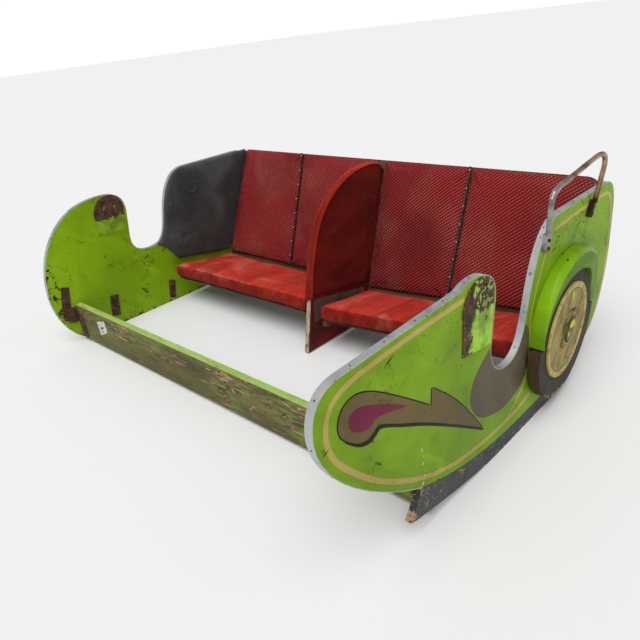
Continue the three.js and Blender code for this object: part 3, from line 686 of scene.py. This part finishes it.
def tube(name, path, radius, material, sides=10):
    """A closed round cord along a path of points."""
    path = [Vector(p) for p in path]
    vertices, faces = [], []
    reference = Vector((0.13, 0.21, 0.97))  # not along any cord
    for i, point in enumerate(path):
        along = (path[min(i + 1, len(path) - 1)] - path[max(i - 1, 0)]).normalized()
        side = along.cross(reference).normalized()
        top = side.cross(along).normalized()
        for k in range(sides):
            angle = 2 * math.pi * k / sides
            vertices.append(point + side * math.cos(angle) * radius
                            + top * math.sin(angle) * radius)
    for i in range(len(path) - 1):
        for k in range(sides):
            a, b = i * sides + k, i * sides + (k + 1) % sides
            faces.append((a, b, b + sides, a + sides))
    faces.append(tuple(range(sides - 1, -1, -1)))
    faces.append(tuple(range((len(path) - 1) * sides, len(path) * sides)))
    obj = piece(name, vertices, faces, material)
    repair_normals(obj)
    return obj


# ---- sign painting on the right panel ---------------------------------------------------------

CREAM = paint("cream_line", 0xC3AE62, 0xA8924C, 0xD2C07C, 0x5A6A1C, 0.9, 0.25)
BROWN = paint("arrow_brown", 0x6F6136, 0x5C5030, 0x857640, 0x3A3420, 0.9, 0.3)
BLACK = paint("black_line", 0x14140E, 0x1E1C14, 0x2A2A1C, 0x5C5230, 0.9, 0.1)
MAGENTA = paint("magenta", 0x7E1F42, 0x5E1832, 0x963A58, 0x4A4028, 0.9, 0.3)
PALE_WOOD = wood("pale_wood", 0xD8CBA8, 0xB09C74, 2, 0.2)
TAUPE = paint("taupe", 0x655C48, 0x544C3C, 0x776D58, 0x3A3424, 0.9, 0.3)

stripe("pinstripe_nose", [
    (-0.237, 0.636), (-0.430, 0.637), (-0.600, 0.633), (-0.688, 0.625), (-0.740, 0.600),
    (-0.762, 0.550), (-0.758, 0.495), (-0.722, 0.428), (-0.610, 0.307), (-0.453, 0.200),
    (-0.300, 0.138), (-0.149, 0.112), (-0.028, 0.104), (0.075, 0.105), (0.165, 0.121),
], 0.015, CREAM)
stripe("pinstripe_notch", [
    (0.225, 0.622), (0.195, 0.554), (0.164, 0.486), (0.142, 0.402), (0.147, 0.317),
    (0.149, 0.259), (0.134, 0.206), (0.085, 0.155), (-0.003, 0.101),
], 0.009, CREAM, 2)
stripe("pinstripe_rear", [
    (0.272, 0.661), (0.420, 0.668), (0.640, 0.670), (0.692, 0.660), (0.720, 0.630),
    (0.731, 0.580), (0.737, 0.491), (0.733, 0.390), (0.718, 0.300), (0.685, 0.220),
    (0.640, 0.160),
], 0.013, CREAM)

HEAD = [(-0.604, 0.562), (-0.662, 0.587), (-0.704, 0.579), (-0.724, 0.549), (-0.724, 0.520),
        (-0.709, 0.495), (-0.672, 0.463), (-0.640, 0.453), (-0.618, 0.460), (-0.593, 0.466)]
BARB = [(-0.138, 0.170), (-0.227, 0.290), (-0.297, 0.370), (-0.386, 0.452)]
ARROW = (smooth_curve([(-0.521, 0.424), (-0.408, 0.357), (-0.258, 0.255), (-0.138, 0.170)], 6)[:-1]
         + smooth_curve(BARB, 6) + smooth_curve([(-0.393, 0.400), (-0.515, 0.497), *HEAD,
                                                 (-0.521, 0.424)], 6)[:-1])


def grown(outline, amount, shift=(0, 0)):
    """A closed outline moved out by amount, and then shifted."""
    result = []
    for i, point in enumerate(outline):
        along = (outline[(i + 1) % len(outline)] - outline[i - 1]).normalized()
        result.append(point + Vector((along.y, -along.x)) * amount + Vector(shift))
    return result


def enclosed_area(outline):
    return sum(a.x * b.y - b.x * a.y for a, b in zip(outline, outline[1:] + outline[:1])) / 2


if enclosed_area(ARROW) < 0:
    ARROW.reverse()
inlay("arrow_shadow", grown(ARROW, 0.002, (0.008, -0.014)), BLACK, 1)
inlay("arrow_line", grown(ARROW, 0.0035), BLACK, 2)
inlay("arrow", ARROW, BROWN, 3)
TEAR = smooth_curve([(-0.494, 0.460), (-0.567, 0.508), (-0.627, 0.540), (-0.662, 0.553), (-0.686, 0.548),
                     (-0.694, 0.530), (-0.686, 0.507), (-0.663, 0.488), (-0.637, 0.480),
                     (-0.620, 0.483), (-0.604, 0.491), (-0.562, 0.481)], 6, True)
inlay("teardrop", TEAR, MAGENTA, 4)

CHIPS = [
    (-0.439, 0.286, 0.005), (-0.434, 0.262, 0.003), (-0.437, 0.240, 0.005), (-0.430, 0.217, 0.003),
    (-0.433, 0.196, 0.005), (-0.441, 0.172, 0.007), (-0.452, 0.166, 0.005), (-0.425, 0.205, 0.002),
]
for number, (y, z, size) in enumerate(CHIPS):
    flake = [Vector((y + size * r * math.cos(a), z + size * r * 1.4 * math.sin(a)))
             for r, a in ((1.0, 0.2), (0.5, 1.1), (0.9, 2.0), (0.4, 2.7), (0.9, 3.9), (0.6, 5.2))]
    inlay(f"white_chip_{number}", flake, PALE_WOOD, 2)

notch = edge_curve((-0.075, 0.430), (-0.080, 0.372), (-0.045, 0.314), (0.026, 0.314))
notch += edge_curve((0.026, 0.314), (0.098, 0.314), (0.122, 0.372), (0.142, 0.453))[1:14]
LOBE = [(0.129, 0.394), (0.142, 0.350), (0.142, 0.263), (0.120, 0.214), (0.070, 0.178),
        (-0.032, 0.169), (-0.133, 0.203), (-0.184, 0.247), (-0.206, 0.309), (-0.186, 0.365),
        (-0.140, 0.405)]
inlay("notch_lobe", [p + Vector((0, -0.0005)) for p in notch] + smooth_curve(LOBE, 6), TAUPE, 1)

YELLOW = paint("bright_yellow", 0xD2D418, 0xAEB41A, 0xE4E24A, 0x4A4A20, 1.0, 0.2)


def outer_face(node):
    """The middle and the normal of a CAD piece's largest triangle that faces outwards."""
    outward = [face for face in NODES[node].data.polygons if face.normal.x > 0.95]
    largest = max(outward, key=lambda face: face.area)
    return largest.center, largest.normal


def wheel_mark(name, node, outline, material, level=1):
    """Paint on the wheel, its outline given from the centre of the piece it is on."""
    low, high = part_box(node)
    centre = Vector(((low[1] + high[1]) / 2, (low[2] + high[2]) / 2))
    inlay(name, [centre + Vector(p) for p in outline], material, level, *outer_face(node))


def arc(inner, outer, start, end):
    """A slice of a ring, tapering to its ends; angles in degrees."""
    middle = (inner + outer) / 2
    sides = ([], [])
    for k in range(25):
        angle = math.radians(start + (end - start) * k / 24)
        swell = min(1.0, 6 * min(k, 24 - k) / 24 + 0.15) if end - start < 300 else 1.0
        for side, radius in zip(sides, (inner, outer)):
            reach = middle + (radius - middle) * swell
            side.append((reach * math.cos(angle), reach * math.sin(angle)))
    return sides[0] + sides[1][::-1]


wheel_mark("hub_ring", "wheel_hub", arc(0.0530, 0.0565, 2, 358), CREAM)
wheel_mark("hub_shade", "wheel_hub", arc(0.0400, 0.0520, 120, 275), BLACK, 2)
wheel_mark("rim_shade", "wheel_rim", arc(0.0690, 0.0750, 30, 100), BLACK, 2)
wheel_mark("rim_fleck", "wheel_rim", [(0.010, 0.140), (0.022, 0.134), (0.028, 0.118), (0.016, 0.104),
                                      (0.006, 0.098), (0.010, 0.116)], YELLOW, 2)
wheel_mark("cap_light", "wheel_cap", [(-0.026, 0.018), (-0.008, 0.031), (0.016, 0.029), (0.030, 0.014),
                                      (0.028, 0.000), (0.008, 0.002), (-0.014, 0.008)], YELLOW, 2)
wheel_mark("cap_fleck", "wheel_cap", [(-0.030, -0.002), (-0.018, -0.004), (-0.016, -0.018),
                                      (-0.024, -0.022), (-0.031, -0.014)], YELLOW, 2)

# ---- soft pieces ------------------------------------------------------------------------------


def remeshed(name, node, voxel, shrink):
    """A copy of a CAD solid as an even mesh, drawn in a little to leave room to swell."""
    source = NODES[node]
    mesh = source.data.copy()
    obj = bpy.data.objects.new(name, mesh)
    bpy.context.scene.collection.objects.link(obj)
    remesh = obj.modifiers.new("even", "REMESH")
    remesh.mode = "VOXEL"
    remesh.voxel_size = voxel
    applied(obj)
    shape = bmesh.new()
    shape.from_mesh(obj.data)
    bmesh.ops.smooth_vert(shape, verts=shape.verts, factor=0.5, use_axis_x=True, use_axis_y=True,
                          use_axis_z=True)
    shape.normal_update()
    for vertex in shape.verts:
        vertex.co -= vertex.normal * shrink
    shape.to_mesh(obj.data)
    shape.free()
    return obj


def applied(obj):
    """Replaces an object's mesh by what its modifiers make of it."""
    evaluated = obj.evaluated_get(bpy.context.evaluated_depsgraph_get())
    mesh = bpy.data.meshes.new_from_object(evaluated)
    obj.modifiers.clear()
    obj.data = mesh


def coordinates(mesh):
    flat = np.empty(len(mesh.vertices) * 3, np.float32)
    mesh.vertices.foreach_get("co", flat)
    return flat.reshape(-1, 3)


def inflated(obj, cap, pressure=4.0, held=None):
    """Swells a piece as cloth under pressure. held(co) is true where it is tacked down."""
    start = coordinates(obj.data)
    group = obj.vertex_groups.new(name="held")
    pinned = [i for i, co in enumerate(start) if held and held(Vector(co))]
    group.add(pinned, 1.0, "REPLACE")
    cloth = obj.modifiers.new("cloth", "CLOTH")
    settings = cloth.settings
    settings.quality = 4
    settings.mass = 0.3
    settings.tension_stiffness = 12
    settings.compression_stiffness = 12
    settings.bending_stiffness = 2.0
    settings.use_pressure = True
    settings.uniform_pressure_force = pressure
    settings.vertex_group_mass = "held"
    settings.effector_weights.gravity = 0
    cloth.collision_settings.use_collision = False
    scene = bpy.context.scene
    for step in range(1, 21):
        scene.frame_set(step)
    evaluated = obj.evaluated_get(bpy.context.evaluated_depsgraph_get())
    moved = coordinates(evaluated.data) - start
    length = np.linalg.norm(moved, axis=1, keepdims=True)
    moved *= np.minimum(1, cap / np.maximum(length, 1e-9))
    obj.modifiers.clear()
    obj.vertex_groups.clear()
    obj.data.vertices.foreach_set("co", (start + moved).ravel())
    scene.frame_set(1)


def finish_soft(obj, node, material, body):
    smoother = obj.modifiers.new("fine", "SUBSURF")
    smoother.levels = 1
    smoother.render_levels = 1
    applied(obj)
    wear(obj, material)
    for polygon in obj.data.polygons:
        polygon.use_smooth = True
    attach(obj, body)
    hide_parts(node)


def crumple(obj, amplitude, scale, normal=None, seed=0.0):
    """Small soft unevenness, along the normals or along one direction."""
    mesh = obj.data
    for vertex in mesh.vertices:
        co = vertex.co
        push = noise.noise(Vector((co.x * scale + seed, co.y * scale, co.z * scale)))
        direction = normal or vertex.normal
        vertex.co = co + direction * push * amplitude


VOXEL = 0.008
SQUAB_SWELL = 0.009  # how far the cloth may move
PANEL_SWELL = 0.006

for side in ("left", "right"):
    squab = remeshed(f"squab_{side}", f"squab_cushion_{side}", VOXEL, 0.004)
    inflated(squab, SQUAB_SWELL)
    crumple(squab, 0.003, 9.0, seed=2.0 if side == "left" else 7.0)
    finish_soft(squab, f"squab_cushion_{side}", SEAT, f"squab_{side}")

for number in (1, 2, 3, 4):
    pad = remeshed(f"back_panel_{number}", f"back_pad_{number}", VOXEL, 0.0015)
    behind = SEAT_JOIN - OUT_OF_BACK * 0.02
    inflated(pad, PANEL_SWELL, held=lambda co: (co - behind).dot(OUT_OF_BACK) < 0)
    crumple(pad, 0.002, 7.0, OUT_OF_BACK, number * 3.0)
    finish_soft(pad, f"back_pad_{number}", MOQUETTE, CAR)


def face_outline(node, direction):
    """The outline of a flat face of a CAD node: its loop of points, nearest to direction."""
    mesh = NODES[node].data
    edges = {}
    for polygon in mesh.polygons:
        if polygon.normal.dot(direction) < 0.99:
            continue
        corners = [tuple(round(c, 5) for c in mesh.vertices[v].co) for v in polygon.vertices]
        for a, b in zip(corners, corners[1:] + corners[:1]):
            if (b, a) in edges:
                del edges[(b, a)]
            else:
                edges[(a, b)] = True
    following = dict(edges.keys())
    start = next(iter(following))
    loop = [start]
    while following[loop[-1]] != start:
        loop.append(following[loop[-1]])
    return [Vector(p) for p in loop]


def gaps_to(loop, points):
    """How far each 2-D point is from a closed outline, negative outside it."""
    points = np.array([tuple(p) for p in points], np.float64)
    nearest = np.full(len(points), 1e9)
    odd = np.zeros(len(points), bool)
    for a, b in zip(loop, loop[1:] + loop[:1]):
        a, b = np.array(a), np.array(b)
        run = b - a
        t = np.clip((points - a) @ run / max(run @ run, 1e-18), 0, 1)
        away = points - (a + t[:, None] * run)
        nearest = np.minimum(nearest, np.hypot(away[:, 0], away[:, 1]))
        crosses = (a[1] > points[:, 1]) != (b[1] > points[:, 1])
        slope = run[0] / (run[1] if run[1] else 1e-18)
        odd ^= crosses & (points[:, 0] < slope * (points[:, 1] - a[1]) + a[0])
    return np.where(odd, nearest, -nearest)


def upholstered(name, node, direction, thick, round_edge, crown, material,
                shape_more, step=0.011, spread=0.0):
    """Cloth drawn over a flat pad: flat behind, crowned in front, rounded at its edges."""
    direction = Vector(direction).normalized()
    outline = face_outline(node, direction)
    across = Vector((0, 1, 0))
    up = direction.cross(across).normalized()
    origin = outline[0]
    flat = [Vector(((p - origin).dot(across), (p - origin).dot(up))) for p in outline]
    if enclosed_area(flat) < 0:
        flat.reverse()
    flat = grown(flat, spread)
    edge = []
    for a, b in zip(flat, flat[1:] + flat[:1]):
        pieces = max(1, round((b - a).length / step))
        edge += [a.lerp(b, k / pieces) for k in range(pieces)]
    low = Vector((min(p.x for p in flat), min(p.y for p in flat)))
    high = Vector((max(p.x for p in flat), max(p.y for p in flat)))
    grid = [Vector((low.x + (column + 0.5 * (row % 2)) * step, low.y + row * step))
            for row in range(int((high.y - low.y) / step) + 1)
            for column in range(int((high.x - low.x) / step) + 1)]
    points = list(edge)
    for inset in (0.2, 0.55):
        ring = grown(edge, -round_edge * inset)
        points += [p for p, gap in zip(ring, gaps_to(flat, ring)) if gap > round_edge * inset * 0.8]
    points += [p for p, gap in zip(grid, gaps_to(flat, grid)) if gap > round_edge * 0.95]
    rim = [(i, (i + 1) % len(edge)) for i in range(len(edge))]
    places, _, faces, *_ = geometry.delaunay_2d_cdt(points, rim, [], 1, 1e-6)
    surface, floor = [], []
    for point, gap in zip(places, np.abs(gaps_to(flat, places))):
        turn = min(1.0, gap / round_edge)
        rise = thick * math.sqrt(max(0.0, 1 - (1 - turn) ** 2) * 0.98 + 0.02)
        rise += crown * min(1.0, gap / 0.10) ** 0.7
        place = origin + across * point.x + up * point.y
        rise += shape_more(place, gap)
        surface.append(place - direction * (thick - rise))
        floor.append(place - direction * thick)
    count = len(surface)
    all_faces = [tuple(f) for f in faces] + [tuple(reversed([i + count for i in f])) for f in faces]
    all_faces += [(b, a, a + count, b + count) for a, b in rim]
    obj = piece(name, surface + floor, all_faces, material)
    repair_normals(obj)
    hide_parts(node)
    return obj


def ridge(place, path, width, height):
    """A raised line on a pad: height where place is on the path, falling to 0 beside it."""
    nearest = min((Vector((place.y, place.z)) - p).length for p in path)
    return height * math.exp(-(nearest / width) ** 2)


SCUFF = smooth_curve([(0.236, 0.655), (0.250, 0.610), (0.290, 0.570), (0.335, 0.560),
                      (0.352, 0.590), (0.340, 0.610)], 6)
SCAR = smooth_curve([(0.150, 0.600), (0.165, 0.575), (0.180, 0.545), (0.168, 0.525)], 5)
STAR = (0.214, 0.339)


def left_arm_marks(place, distance):
    y, z = place.y, place.z
    rise = ridge(place, SCUFF, 0.006, 0.0065) + ridge(place, SCAR, 0.007, 0.0045)
    out = math.hypot(y - STAR[0], z - STAR[1])
    angle = math.atan2(z - STAR[1], y - STAR[0])
    rise -= 0.010 * math.exp(-(out / 0.018) ** 2)
    rise -= 0.0025 * math.cos(6 * angle) * math.exp(-((out - 0.022) / 0.016) ** 2)
    rise += 0.003 * noise.noise(Vector((y * 9, z * 9, 3.0))) * min(1, distance / 0.04)
    return rise


def soft_waves(place, distance):
    return 0.002 * noise.noise(place * 14) * min(1, distance / 0.03)


def divider_folds(place, distance):
    """The velvet hangs in faint upright folds towards the backrest."""
    towards_back = min(1.0, max(0.0, (place.y - 0.30) / 0.25))
    folds = math.sin(place.y * 95 + 1.5 * math.sin(place.z * 9))
    soft = noise.noise(place * 12)
    return (0.0012 * folds * towards_back + 0.0018 * soft) * min(1.0, distance / 0.03)


upholstered("arm_panel_left", "arm_pad_left", (1, 0, 0), 0.0135, 0.012, 0.008, CHARCOAL,
            left_arm_marks, 0.0055, 0.003)
upholstered("arm_panel_right", "arm_pad_right", (-1, 0, 0), 0.0066, 0.008, 0.003, CHARCOAL,
            soft_waves)
upholstered("divider_cover_right", "divider_pad_right", OUT_OF_DIVIDER, 0.005, 0.006, 0.004,
            DARK_VELVET, divider_folds)
upholstered("divider_cover_left", "divider_pad_left", -OUT_OF_DIVIDER, 0.005, 0.006, 0.003,
            DARK_VELVET, divider_folds)

# ---- divider's padded edge ----------------------------------------------------------------------

FOOT_X = 0.044 - 0.00231
HALF_BOARD = 0.012
EDGE = (bezier((0.152, 0.236), (0.185, 0.345), (0.235, 0.490), (0.308, 0.570), 20)
        + bezier((0.308, 0.570), (0.375, 0.645), (0.500, 0.716), (0.640, 0.716), 16)[1:]
        + bezier((0.640, 0.716), (0.700, 0.716), (0.735, 0.706), (0.752, 0.686), 8)[1:])


def on_divider(x, y, z):
    """From the divider's own upright plane to the frame."""
    return Vector((FOOT_X + x * math.cos(LEAN) - z * math.sin(LEAN),
                   y + SHIFT_Y, z * math.cos(LEAN) + x * math.sin(LEAN)))


def edge_roll():
    """A padded roll over the divider's front and top, with a joint part of the way up."""
    profile = []
    half = HALF_BOARD + 0.0068
    for k in range(15):
        angle = math.pi * k / 14
        profile.append((half * math.cos(angle), 0.0105 * math.sin(angle) ** 0.7))
    joint = 14
    vertices, faces = [], []
    count = len(profile)
    for i, point in enumerate(EDGE):
        along = (EDGE[min(i + 1, len(EDGE) - 1)] - EDGE[max(i - 1, 0)]).normalized()
        out = Vector((-along.y, along.x))
        pinch = 1 - 0.16 * math.exp(-((i - joint) / 0.8) ** 2)
        for k, (side, rise) in enumerate(profile):
            wobble = 0.0012 * noise.noise(Vector((i * 0.5, k * 0.4, 1.0)))
            level = out * ((rise + wobble) * pinch - 0.0102)
            vertices.append(on_divider(side * pinch - HALF_BOARD, point.x + level.x,
                                       point.y + level.y))
    for i in range(len(EDGE) - 1):
        for k in range(count):
            a, b = i * count + k, i * count + (k + 1) % count
            faces.append((a, b, b + count, a + count))
    faces.append(tuple(range(count)))
    faces.append(tuple(range((len(EDGE) - 1) * count, len(EDGE) * count)))
    obj = piece("divider_roll", vertices, faces, ROLL_VELVET)
    repair_normals(obj)
    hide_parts("divider_edge_roll")
    for side, x in (("right", half - HALF_BOARD + 0.0005), ("left", -half - HALF_BOARD - 0.0005)):
        line = []
        for i, point in enumerate(EDGE):
            along = (EDGE[min(i + 1, len(EDGE) - 1)] - EDGE[max(i - 1, 0)]).normalized()
            out = Vector((-along.y, along.x)) * -0.0095
            line.append(on_divider(x, point.x + out.x, point.y + out.y))
        welt = tube(f"divider_welt_{side}", line, 0.0028, ROLL_VELVET, sides=8)


edge_roll()

# ---- nails, tacks and the arm's welt --------------------------------------------------------------

DARK_STEEL = metal("dark_steel", 0x3E3A36, 0x221E1A, 0.45)
PALE_STEEL = metal("pale_steel", 0xC9BFAE, 0x8A8070, 0.35)


def panel_edge(nose, sill):
    """The trimmed edge of a panel as (y, z); sill is the height of its notch."""
    line = list(nose)
    line += edge_curve((-0.108, 0.662), (-0.070, 0.646), (-0.052, 0.620), (-0.057, 0.566))
    line += edge_curve((-0.075, 0.430), (-0.080, 0.372), (-0.045, sill), (0.026, sill))
    line += edge_curve((0.026, sill), (0.098, sill), (0.122, 0.372), (0.142, 0.453))
    line += edge_curve((0.142, 0.453), (0.160, 0.522), (0.188, 0.655), (0.275, 0.694))
    return line + [Vector((y + SHIFT_Y, 0.704)) for y in (0.330, 0.690)]


def trim_nails(name, line, x):
    """Nail heads spaced evenly along a panel's edging."""
    places = []
    travelled, due = 0.0, NAIL_SPACING / 2
    for a, b in zip(line, line[1:]):
        length = (b - a).length
        while length and travelled + length >= due:
            t = (due - travelled) / length
            point = a.lerp(b, t)
            along = (b - a).normalized()
            out = Vector((0, -along.y, along.x))
            centre = Vector((x, point.x, point.y)) + out * 0.0026
            places.append((centre, out))
            due += NAIL_SPACING
        travelled += length
    heads(name, places, 0.0024, 0.0010, DARK_STEEL)


RIGHT_NOSE = (edge_curve((-0.421, 0.162), (-0.560, 0.235), (-0.770, 0.400), (-0.776, 0.540))
              + edge_curve((-0.776, 0.540), (-0.778, 0.610), (-0.745, 0.652), (-0.682, 0.653))
              + [Vector((-0.235 + SHIFT_Y, 0.661))])
LEFT_NOSE = (edge_curve((-0.445, 0.014), (-0.530, 0.070), (-0.556, 0.180), (-0.554, 0.271))
             + edge_curve((-0.554, 0.271), (-0.548, 0.420), (-0.480, 0.570), (-0.332, 0.643))
             + edge_curve((-0.332, 0.643), (-0.265, 0.670), (-0.165, 0.682), (-0.108, 0.662)))
NAIL_SPACING = 0.115
trim_nails("trim_nails_right", panel_edge(RIGHT_NOSE, 0.314), (RIGHT_IN + RIGHT_OUT) / 2)
trim_nails("trim_nails_left", panel_edge(LEFT_NOSE, 0.338), (LEFT_IN + LEFT_OUT) / 2)


def on_back(x, up, out=0.0):
    return Vector((x, SEAT_JOIN.y, SEAT_JOIN.z)) + UP_BACK * up + OUT_OF_BACK * out


arm_back = min((v.co - SEAT_JOIN).dot(OUT_OF_BACK) for v in NODES["arm_pad_left"].data.vertices)
welt_path = [on_back(LEFT_IN + 0.0075, 0.06 + 0.036 * k, arm_back - 0.005) for k in range(16)]
arm_welt = tube("arm_welt_left", welt_path, 0.0070, CHARCOAL, sides=10)

for number, foot, head in ((1, -0.516, -0.570), (2, 0.468, 0.445)):
    rows = [0.07 + 0.075 * k for k in range(8)]
    places = [(on_back(foot + (head - foot) * up / 0.612, up, 0.0036), OUT_OF_BACK) for up in rows]
    heads(f"strip_tacks_{number}", places, 0.0038, 0.0022, PALE_STEEL)

# ---- camera, light and floor ------------------------------------------------------------------------

CAMERA_AT = Vector((1.74169, -1.39617, 1.296))
CAMERA_RIGHT = Vector((0.7116, 0.6933, -0.1135))
CAMERA_UP = Vector((-0.2446, 0.3959, 0.8851))
camera_data = bpy.data.cameras.new("camera")
camera_data.lens = 32.58
camera_data.sensor_width = 36
camera = bpy.data.objects.new("camera", camera_data)
back = CAMERA_RIGHT.cross(CAMERA_UP)
camera.matrix_world = Matrix((
    (CAMERA_RIGHT.x, CAMERA_UP.x, back.x, CAMERA_AT.x),
    (CAMERA_RIGHT.y, CAMERA_UP.y, back.y, CAMERA_AT.y),
    (CAMERA_RIGHT.z, CAMERA_UP.z, back.z, CAMERA_AT.z),
    (0, 0, 0, 1),
))
bpy.context.scene.collection.objects.link(camera)
bpy.context.scene.camera = camera


def floor():
    """A plain white floor."""
    size = 80  # half its side, so that it reaches the horizon
    mesh = bpy.data.meshes.new("floor")
    mesh.from_pydata([(-size, -size, 0), (size, -size, 0), (size, size, 0), (-size, size, 0)],
                     [], [(0, 1, 2, 3)])
    obj = bpy.data.objects.new("floor", mesh)
    bpy.context.scene.collection.objects.link(obj)
    look = Look("pale_floor")
    mesh.materials.append(look.finish(colour(0xF4F4F4), 0.9))


def studio():
    """White all round at eye level and softer overhead, with one broad lamp above."""
    world = bpy.data.worlds.new("studio")
    world.use_nodes = True
    nodes, links = world.node_tree.nodes, world.node_tree.links
    direction = nodes.new("ShaderNodeTexCoord")
    height = nodes.new("ShaderNodeSeparateXYZ")
    links.new(direction.outputs["Generated"], height.inputs[0])
    softer = nodes.new("ShaderNodeMapRange")
    softer.inputs["From Min"].default_value = 0.09
    softer.inputs["From Max"].default_value = 0.20
    softer.inputs["To Min"].default_value = 1.0
    softer.inputs["To Max"].default_value = 0.45
    links.new(height.outputs[2], softer.inputs[0])
    links.new(softer.outputs[0], nodes["Background"].inputs["Strength"])
    nodes["Background"].inputs["Color"].default_value = (1, 1, 1, 1)
    bpy.context.scene.world = world


floor()
studio()
lamp = bpy.data.lights.new("soft_lamp", "SUN")
lamp.energy = 1.85
lamp.angle = math.radians(50)
soft_lamp = bpy.data.objects.new("soft_lamp", lamp)
soft_lamp.rotation_euler = Vector((0.25, -0.40, 1)).to_track_quat("Z", "Y").to_euler()
bpy.context.scene.collection.objects.link(soft_lamp)
bpy.context.scene.view_settings.view_transform = "Standard"
